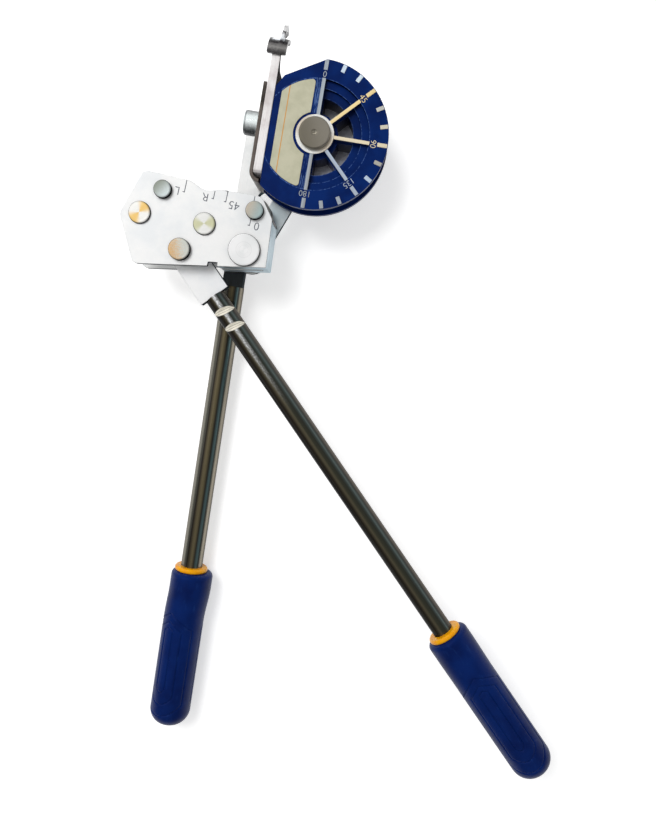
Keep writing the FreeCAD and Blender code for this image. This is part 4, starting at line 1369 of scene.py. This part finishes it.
@dataclass
class HookLatch(SubAssembly):
    """The strap latch with its saddle and screw, and the side plate behind it."""

    tail_middle: float = -18.4
    tail_radius: float = 6.0
    tail_taper: float = -8.0
    tail_end: float = -24.6
    tail_least: float = 2.0
    corner_round: float = 1.2
    corner_share: float = 0.1
    strap_half: float = 8.7
    plate_shift: float = 3.4
    saddle_bend: float = 38.1
    saddle_lip: float = 0.25
    tab_foot: float = 48.75
    tab_lean: float = 1.5

    def build(self) -> None:
        """Dress the latch's pieces."""
        shade = DarkPlate(
            "latch_shade", "bright_steel", WHEEL, ink(0x786E68), ink(0x1E1A18),
            rough=0.3, grain=0.01)
        self.dress("latch_strap", ZincPlate(
            "strap_zinc", "bright_steel", WHEEL, Way.ALONG, ink(0xFEFBFA), ink(0xCEC4C2),
            rough=0.3, brushed=0.6, metal=0.4), 0.45,
            wall=shade, facing=(1.0, 0.0, 0.0), rule=Rule(WHEEL, self.square_tail))
        self.dress("latch_saddle", SaddleChrome("saddle_chrome", "bright_steel"), 0.45,
                   rule=Rule(WHEEL, self.trimmed_saddle))
        self.dress("latch_screw", ScrewSteel("screw_steel", "bright_steel"), 0.4)
        # The side plate is painted shade in a darker copy of the zinc, for the shadow between it and the wheel;
        # only its outer face keeps the plain zinc.
        self.dress("side_plate", ZincPlate(
            "side_plate_shaded_zinc", "bright_steel", WHEEL, Way.ALONG, ink(0x706660), ink(0x342E2A)),
            0.2, wall=ZincPlate("side_plate_face", "bright_steel", WHEEL, Way.ALONG),
            facing=(-1.0, 0.0, 0.0), rule=Rule(WHEEL, self.higher_plate))

    def square_tail(self, spot: Vector) -> Vector:
        """Square the upper corner of the strap's tapered round tail.

        Args:
            spot: A point of the strap, in the wheel's millimetres.

        Returns:
            Its new place.
        """
        if spot.y > self.tail_taper or spot.z < 0.0:
            return spot
        beyond = self.tail_taper - spot.y
        drop = beyond / (self.tail_taper - self.tail_middle + self.tail_radius)
        along = self.tail_taper - drop * (self.tail_taper - self.tail_end)
        if spot.y > self.tail_middle:
            narrow = beyond / (self.tail_taper - self.tail_middle)
            half = self.strap_half + (self.tail_radius - self.strap_half) * narrow
        else:
            square = self.tail_radius ** 2 - (self.tail_middle - spot.y) ** 2
            half = max(self.tail_least, math.sqrt(max(0.0, square)))
        cut = self.corner_round * max(0.0, drop - (1.0 - self.corner_share)) / self.corner_share
        corner = self.strap_half - cut
        return Vector((spot.x, along, min(corner, spot.z / half * corner)))

    def higher_plate(self, spot: Vector) -> Vector:
        """Lift the side plate along the flat."""
        return spot + Vector((0.0, self.plate_shift, 0.0))

    def trimmed_saddle(self, spot: Vector) -> Vector:
        """Shorten the saddle's lip and lean its thumb tab outwards.

        Args:
            spot: A point of the saddle, in the wheel's millimetres.

        Returns:
            Its new place.
        """
        if spot.y < self.saddle_bend:
            lip = (self.saddle_bend - spot.y) * self.saddle_lip
            return Vector((spot.x, self.saddle_bend - lip, spot.z))
        lean = self.tab_lean if spot.y > self.tab_foot else 0.0
        return spot + Vector((lean, 0.0, 0.0))


@dataclass
class Arms(SubAssembly):
    """The swinging arm and the bar of the fixed handle under the wheel."""

    def build(self) -> None:
        """Dress the arm and the bar."""
        # Painted shade on the upright walls of the arm and the bar.
        edge = DarkPlate("arm_edge", "bright_steel", WHEEL, ink(0x848C90), ink(0x60666A))
        self.dress("swing_arm", ZincPlate(
            "arm_zinc", "bright_steel", WHEEL, Way.NONE, ink(0xF6FEFF), ink(0xE2F2F6),
            metal=0.1), 0.35, wall=edge)
        self.dress("handle_bar", ZincPlate(
            "bar_zinc", "bright_steel", HANDLE, Way.ALONG, ink(0xFCFCFB), ink(0xEAECEC),
            metal=0.2, shade_below=-66.0), 0.4, wall=edge)


@dataclass
class RollerLink(SubAssembly):
    """The folded link with its stamped marks, its pins and its two grooved rollers.

    A letter has its place across and along. A line has its place across, its top and its foot,
    and whether a short stroke stands at that foot.
    """

    face: float = 11.5
    depth: float = 0.35
    sheet: float = 6.0
    letter_height: float = 4.5
    line_width: float = 0.42
    stamp_above: float = 0.6
    foot_length: float = 0.8
    foot_shift: float = -0.62
    foot_rise: float = 0.25
    letters: tuple[tuple[str, float, float], ...] = (
        ("L", -42.0, 22.4), ("R", -26.5, 22.4), ("45", -10.6, 21.4), ("0", 3.6, 13.5))
    lines: tuple[tuple[float, float, float, bool], ...] = (
        (-38.05, 29.3, 22.5, True), (-22.1, 26.8, 22.4, True), (-15.3, 28.6, 22.3, True),
        (-0.7, 28.9, 25.6, False), (-0.2, 17.0, 13.1, True))

    def build(self) -> None:
        """Stamp and dress the link, then its pins, spacers and rollers."""
        zinc = ZincPlate(
            "link_zinc", "link_steel", LINK, Way.NONE, ink(0xFDFDFC), ink(0xF3F5F6),
            rough=0.3, brushed=0.2, metal=0.36)
        etched = EtchedLine("stamped_grey", "link_steel", LINK)
        # Painted shade on the link's cut edges; its taller walls take the bright fold.
        edge = DarkPlate("link_edge", "link_steel", LINK, ink(0x70747A), ink(0x464A50))
        fold = ZincPlate(
            "link_fold", "link_steel", LINK, Way.NONE, ink(0xECF6FA), ink(0xCEDCE2),
            metal=1.0, edge_tint=(0.5, 0.56, 0.6, 1.0))
        link = walled(self.stamped(zinc, etched), zinc, edge, self.sheet * MM)
        link = walled(link, zinc, fold)
        self.add("link_yoke_surface", link, zinc, "link", "link_yoke")
        far = Seat.at_joint("far_roller_spin", LINK_LEAN)
        near = Seat.at_joint("near_roller_spin", LINK_LEAN)
        # Painted shade on the pins' upright walls.
        shank = DarkPlate(
            "pin_shank", "pin_steel", LINK, ink(0x585A5E), ink(0x28292C), rough=0.35)
        for node, finish in self.pin_faces(far, near).items():
            self.dress(node, finish, 0.3, wall=shank)
        inside = TurnedSteel(
            "spacer_steel", "pin_steel", LINK, ink(0xC4C4C0), ink(0xAAAAA4))
        for node in ("rear_sleeve", "stop_sleeve", "upper_lever_spacer", "lower_lever_spacer",
                     "link_sleeve", "link_washer"):
            self.dress(node, inside, 0.15)
        for node, seat in (("near_roller", near), ("far_roller", far)):
            self.dress(node, TurnedSteel(
                f"{node}_steel", "roller_steel", seat, ink(0xB0B0AE), ink(0x92928E)),
                0.3, 31.0)

    def pin_faces(self, far: Seat, near: Seat) -> dict[str, Finish]:
        """Give each pin's turned head its own steel.

        Args:
            far: The far roller's axis.
            near: The near roller's axis.

        Returns:
            The finishes, by node.
        """
        # Sectors on the rivets and pivots are painted sheen, slopes on the roller pins painted light across them;
        # the lever pivot carries a mottled patch.
        return {
            "far_roller_pin": TurnedSteel(
                "far_pin_face", "pin_steel", far, ink(0x969C92), ink(0xD6E0E0),
                Tint.SLOPE, toward=-35.0, reach=4.8),
            "near_roller_pin": TurnedSteel(
                "near_pin_face", "pin_steel", near, ink(0xCCC2B2), ink(0xB0C4C4),
                Tint.SLOPE, toward=-10.0, reach=4.8),
            "rear_rivet": TurnedSteel(
                "rear_rivet_face", "pin_steel", LINK.moved(-59.1, 6.9), ink(0xF7F6F1),
                ink(0xF4CC7C), toward=58.0),
            "stop_rivet": TurnedSteel(
                "stop_rivet_face", "pin_steel", LINK.moved(-23.84, 8.74), ink(0xF2F2EE),
                ink(0xD6D6B0), toward=18.0),
            "lever_pivot": TurnedSteel(
                "lever_pivot_face", "pin_aged", LEVER, ink(0xDCDED6), ink(0xE6B268),
                Tint.PATCH, toward=-160.0 - LEVER_LEAN, reach=5.9, rough=0.36),
            "link_pivot": TurnedSteel(
                "link_pivot_face", "pin_steel", LINK, ink(0xFAFAFA), ink(0xF2F3F3),
                toward=70.0, metal=0.35),
        }

    def stamped(self, zinc: Finish, etched: Finish) -> Mesh:
        """Cut the letters and lines into a copy of the link.

        Args:
            zinc: The link's finish.
            etched: The finish of the marks' floors.

        Returns:
            The stamped link, in place.
        """
        body = softened(copy_of("link_yoke"), 0.4)
        body.materials.append(zinc.material())
        tool = placed("stamp", self.stamps())
        tool.data.materials.append(etched.material())
        made = worked(body, [("BOOLEAN", {
            "operation": "DIFFERENCE", "solver": "EXACT", "object": tool,
            "material_mode": "TRANSFER", "use_self": True})])
        bpy.data.objects.remove(tool)
        return shaded(made)

    def stamps(self) -> Mesh:
        """Make the tool that stamps the link: letters and footed lines, read from the far side.

        Returns:
            The tool, in place.
        """
        tall = self.depth + self.stamp_above
        lift = self.face - self.depth + tall / 2
        made = []
        for words, across, along in self.letters:
            text = lettering(words, self.letter_height, tall)
            middle = Matrix.Translation((across, along, lift))
            text.transform(middle @ Matrix.Rotation(math.pi, 4, "Z"))
            made.append(text)
        for across, top, foot, footed in self.lines:
            middle = (across, (top + foot) / 2, lift)
            made.append(bar(middle, self.line_width, top - foot, tall))
            if footed:
                middle = (across + self.foot_shift, foot + self.foot_rise, lift)
                made.append(bar(middle, self.foot_length, self.line_width, tall))
        whole = merged(made)
        whole.transform(LINK.matrix())
        return whole


@dataclass
class LeverBlade(SubAssembly):
    """The flat blade between the link and the lever's tube."""

    def build(self) -> None:
        """Dress the blade."""
        # Painted shade on the blade's upright walls.
        edge = DarkPlate("blade_edge", "bright_steel", LEVER, ink(0x70767C), ink(0x464C52))
        self.dress("lever_blade", ZincPlate(
            "blade_zinc", "bright_steel", LEVER, Way.NONE, ink(0xFDFDFD), ink(0xF3F5F7),
            rough=0.3, brushed=0.2, metal=0.36), 0.35, wall=edge)


@dataclass
class Handle(SubAssembly):
    """A long handle: tube, collar ring and contoured grip.

    Each groove of a panel has a half width in degrees, a start, an end and a sag.
    """

    name: str
    body: str
    cad_seat: Seat
    seat: Seat
    mouth: float
    grip_start: float
    painted_reflections: Stops
    glint: float = 0.0
    crimps: tuple[float, ...] = ()
    tube_radius: float = 5.75
    cad_tube_radius: float = 5.75
    collar_width: float = 2.9
    collar_radius: float = 9.65
    collar_round: float = 1.25
    collar_gap: float = 0.02
    grip_length: float = 95.0
    grip_radius: float = 11.9
    swell_across: float = 0.0
    swell_up: float = 0.0
    panel_turn: float = 0.0
    panels: tuple[tuple[float, float, float, float], ...] = (
        (14.0, 33.0, 73.0, 3.0), (41.0, 29.5, 80.0, 5.5), (71.0, 24.5, 87.0, 8.0))
    gable_slope: float = 0.62
    gable_share: float = 0.85
    dome_share: float = 0.94
    around: int = 184
    rows: int = 268

    def build(self) -> None:
        """Dress the tube, then make its collar ring and its grip."""
        self.dress(f"{self.name}_tube", PolishedTube(
            f"{self.name}_tube_plating", "handle_chrome", self.seat, self.mouth, self.painted_reflections,
            self.glint, crimps=self.crimps), 0.12, 32.0,
            rule=Rule(self.cad_seat, self.wider, self.seat))
        ring = GlossRing(f"{self.name}_ring_gloss", "collar_yellow", self.seat)
        self.add(f"{self.name}_ring", self.collar(), ring, self.body, f"{self.name}_collar")
        skin = MouldedGrip(f"{self.name}_grip_satin", "grip_blue", self.seat)
        self.add(f"{self.name}_moulded_grip", self.grip(skin), skin, self.body, f"{self.name}_grip")

    def wider(self, spot: Vector) -> Vector:
        """Bring the tube to the diameter that the picture shows."""
        share = self.tube_radius / self.cad_tube_radius
        return Vector((spot.x * share, spot.y, spot.z * share))

    def collar(self) -> Mesh:
        """Turn the collar ring with round shoulders.

        Returns:
            The ring, in place.
        """
        front, back = self.grip_start - self.collar_width, self.grip_start
        rounding, hole = self.collar_round, self.tube_radius + self.collar_gap
        profile = [(hole, front), (hole, back)]
        for middle, start in ((back - rounding, 90), (front + rounding, 0)):
            for step in range(7):
                turn = math.radians(start - 15 * step)
                profile.append((self.collar_radius - rounding + rounding * math.cos(turn),
                                middle + rounding * math.sin(turn)))
        mesh = lathe(profile, 72)
        mesh.transform(self.seat.matrix())
        return shaded(mesh, 40.0)

    def grip(self, skin: Finish) -> Mesh:
        """Grow the grip: a swelling, domed sleeve with nested contour grooves on two panels.

        Args:
            skin: The grip's finish.

        Returns:
            The closed grip, in place.
        """
        tree = MeshTree(f"{self.name}_grip_form", {
            "Around": self.around, "Rows": self.rows, "Length": self.grip_length,
            "Radius": self.grip_radius, "Swell Radius": 12.2, "Swell Place": 9.0,
            "Waist Place": 30.0, "Swell Shift": 1.1, "Swell Across": self.swell_across,
            "Swell Up": self.swell_up, "Mouth Round": 2.6, "Dome": 9.6, "Groove Depth": 0.45,
            "Groove Width": 0.95, "Panel Turn": self.panel_turn})
        size = tree.size
        grid = tree.node("GeometryNodeMeshGrid", {}, {
            "Size X": 1.0, "Size Y": 1.0, "Vertices X": size("Around") + 1,
            "Vertices Y": size("Rows")})
        spot = tree.result("GeometryNodeInputPosition")
        across, along, _ = tree.split(spot)
        angle = (across + 0.5) * (2 * math.pi)
        end_face = size("Radius") - size("Dome") * self.dome_share
        mouth_face = size("Swell Radius") - size("Mouth Round")
        run = (along + 0.5) * (size("Length") + mouth_face + end_face) - mouth_face
        down = run.most(0.0).least(size("Length"))
        body = self.outline(tree, down)
        radius = body - (0.0 - run).most(0.0) - (run - size("Length")).most(0.0)
        groove = self.contours(tree, angle, down)
        radius = radius - groove * size("Groove Depth")
        shift = size("Swell Shift") * (1.0 - down.rise(size("Swell Place"), size("Waist Place")))
        place = tree.join(
            radius.most(0.0) * angle.sine() + shift * size("Swell Across"),
            0.0 - down,
            radius.most(0.0) * angle.cosine() + shift * size("Swell Up"))
        form = tree.result("GeometryNodeSetPosition", {}, {
            "Geometry": Value(tree, grid.outputs["Mesh"]), "Position": place})
        tree.close(tree.result("GeometryNodeStoreNamedAttribute", {"data_type": "FLOAT"}, {
            "Geometry": form, "Name": "contour", "Value": groove}))
        mesh = closed(tree.grow(skin), 2e-3)
        mesh.transform(self.seat.matrix() @ Matrix.Translation((0.0, -self.grip_start, 0.0)))
        mesh.shade_smooth()
        mesh.set_sharp_from_angle(angle=math.radians(50.0))
        return mesh

    @staticmethod
    def outline(tree: MeshTree, down: Value) -> Value:
        """Give the grip's radius without its grooves.

        Args:
            tree: The grip's tree.
            down: Distance from the grip's mouth, in millimetres.

        Returns:
            The radius, in millimetres.
        """
        size = tree.size
        swell, mouth, dome = size("Swell Radius"), size("Mouth Round"), size("Dome")
        waist = down.rise(size("Swell Place"), size("Waist Place"))
        body = swell - (swell - size("Radius")) * waist
        lip = (mouth - down).most(0.0)
        body = body - mouth + (mouth * mouth - lip * lip).root()
        fall = (down - size("Length") + dome).most(0.0) * 0.998
        return body - dome + (dome * dome - fall * fall).root()

    def contours(self, tree: MeshTree, angle: Value, down: Value) -> Value:
        """Nest contour grooves on both panels: gabled toward the mouth, sagging at the end.

        Args:
            tree: The grip's tree.
            angle: Turn round the grip, in radians.
            down: Distance from the grip's mouth, in millimetres.

        Returns:
            1 in the grooves and 0 beside them.
        """
        folded = abs((angle * (180 / math.pi) - tree.size("Panel Turn") + 90.0) % 180.0 - 90.0)
        aside = folded * (math.pi / 180) * tree.size("Radius")
        half = tree.size("Groove Width") * 0.5
        lines: Value | float = 0.0
        for width, start, end, sag in self.panels:
            reach = math.radians(width) * self.grip_radius
            gable = (aside * self.gable_slope + start - down) * self.gable_share
            share = aside / reach
            foot = down - end + share * share * sag
            edge = abs((aside - reach).most(gable).most(foot))
            lines = (1.0 - edge.rise(half * 0.25, half)).most(lines)
        return lines


# Studio


@dataclass
class Studio:
    """A pale floor, a soft lamp, a room for metal to mirror and the photograph's camera."""

    camera_stand: Point = (43.076, -113.261, 398.078)
    camera_turn: Point = (-3.94667, 2.34302, 9.94467)
    lens: float = 39.5122
    lamp_power: float = 12.0
    lamp_size: float = 0.6
    lamp_stand: Point = (-0.55, 0.55, 1.25)
    floor_half: float = 3.0
    floor_shade: float = 0.86
    floor_glow: float = 0.5
    daylight: float = 0.42
    wall_shine: float = 0.1
    ceiling_shine: float = 0.16
    strip_shine: float = 0.9
    horizon_shine: float = 0.7

    def build(self) -> None:
        """Set the stage."""
        self.floor()
        self.lamp()
        self.room()
        self.camera()
        bpy.context.scene.view_settings.view_transform = "Standard"

    def floor(self) -> None:
        """Lay a plain pale floor that keeps the tool's shadow and reads white elsewhere."""
        half = self.floor_half
        corners = [(-half, -half, 0.0), (half, -half, 0.0), (half, half, 0.0), (-half, half, 0.0)]
        mesh = bpy.data.meshes.new("floor")
        mesh.from_pydata(corners, [], [(0, 1, 2, 3)])
        material = bpy.data.materials.new("floor_paper")
        material.use_nodes = True
        tree = Graph(material.node_tree)
        material.node_tree.nodes.clear()
        shade = self.floor_shade
        paper = tree.result("ShaderNodeBsdfDiffuse", {}, {"Color": (shade, shade, shade, 1.0)})
        seen = tree.ray("Camera").most(tree.ray("Glossy")).most(tree.ray("Transmission"))
        glow = tree.result("ShaderNodeEmission", {}, {
            "Color": (1.0, 1.0, 1.0, 1.0), "Strength": seen * self.floor_glow})
        both = tree.result("ShaderNodeAddShader", {}, {0: paper, 1: glow})
        tree.node("ShaderNodeOutputMaterial", {}, {0: both})
        mesh.materials.append(material)
        placed("floor", mesh)

    def lamp(self) -> None:
        """Hang a square softbox that looks at the tool and isn't mirrored in it."""
        light = bpy.data.lights.new("key_softbox", "AREA")
        light.shape = "SQUARE"
        light.size = self.lamp_size
        light.energy = self.lamp_power
        lamp = placed("key_softbox", light)
        lamp.location = self.lamp_stand
        lamp.rotation_euler = (-Vector(self.lamp_stand)).to_track_quat("-Z", "Y").to_euler()
        lamp.visible_glossy = False

    def room(self) -> None:
        """Light matt surfaces evenly, and give metal a window and a strip over darker walls."""
        world = bpy.data.worlds.new("studio_room")
        bpy.context.scene.world = world
        world.use_nodes = True
        world.node_tree.nodes.clear()
        tree = Graph(world.node_tree)
        across, along, up = tree.split(tree.result("ShaderNodeTexCoord", output="Generated"))
        # Each light stands where the mirrored direction lies in its ranges.
        window = (0.0 - across).rise(0.11, 0.2) * along.rise(-0.3, -0.1) * up.rise(0.3, 0.55)
        strip = (across + along).rise(0.7, 0.95) * up.rise(0.2, 0.3) * (1.0 - up.rise(0.42, 0.52))
        shine = self.wall_shine + up.rise(0.55, 0.8) * self.ceiling_shine + window
        shine = shine + strip * self.strip_shine + (1.0 - up.rise(0.02, 0.22)) * self.horizon_shine
        mirror = tree.ray("Glossy").most(tree.ray("Transmission"))
        seen = tree.ray("Camera")
        matt = (1.0 - mirror) * (1.0 - seen) * self.daylight
        light = tree.result("ShaderNodeBackground", {}, {
            "Color": (1.0, 1.0, 1.0, 1.0), "Strength": seen + mirror * shine + matt})
        tree.node("ShaderNodeOutputWorld", {}, {0: light})

    def camera(self) -> None:
        """Stand the camera where the photograph was taken from."""
        lens = bpy.data.cameras.new("camera")
        lens.lens = self.lens
        lens.sensor_width = 36.0
        lens.sensor_fit = "HORIZONTAL"
        lens.clip_start = 0.01
        camera = placed("camera", lens)
        camera.location = Vector(WHEEL.point) + Vector(self.camera_stand) * MM
        camera.rotation_euler = [math.radians(turn) for turn in self.camera_turn]
        bpy.context.scene.camera = camera


def main() -> None:
    """Build the tool's looks and the studio round it."""
    logging.basicConfig(level=logging.INFO, format="%(name)s: %(message)s")
    leaned = HANDLE.moved(0.35, -84.0, turn=0.75).moved(0.0, 84.0)
    groups: list[SubAssembly] = [
        FormWheel(),
        HookLatch(),
        Arms(),
        RollerLink(),
        LeverBlade(),
        Handle("handle", "frame", HANDLE, leaned, mouth=84.0, grip_start=253.4,
               painted_reflections=HANDLE_REFLECTIONS, tube_radius=6.3, swell_across=1.0, panel_turn=-30.0),
        Handle("lever", "lever", LEVER, LEVER, mouth=29.0, grip_start=258.0, painted_reflections=LEVER_REFLECTIONS,
               glint=1.0, crimps=(10.0, 20.0), grip_length=94.5, swell_up=-1.0),
    ]
    for group in groups:
        group.build()
        LOG.info("%s: %d pieces", type(group).__name__, len(group.pieces))
    Studio().build()


if __name__ == "__main__":
    main()
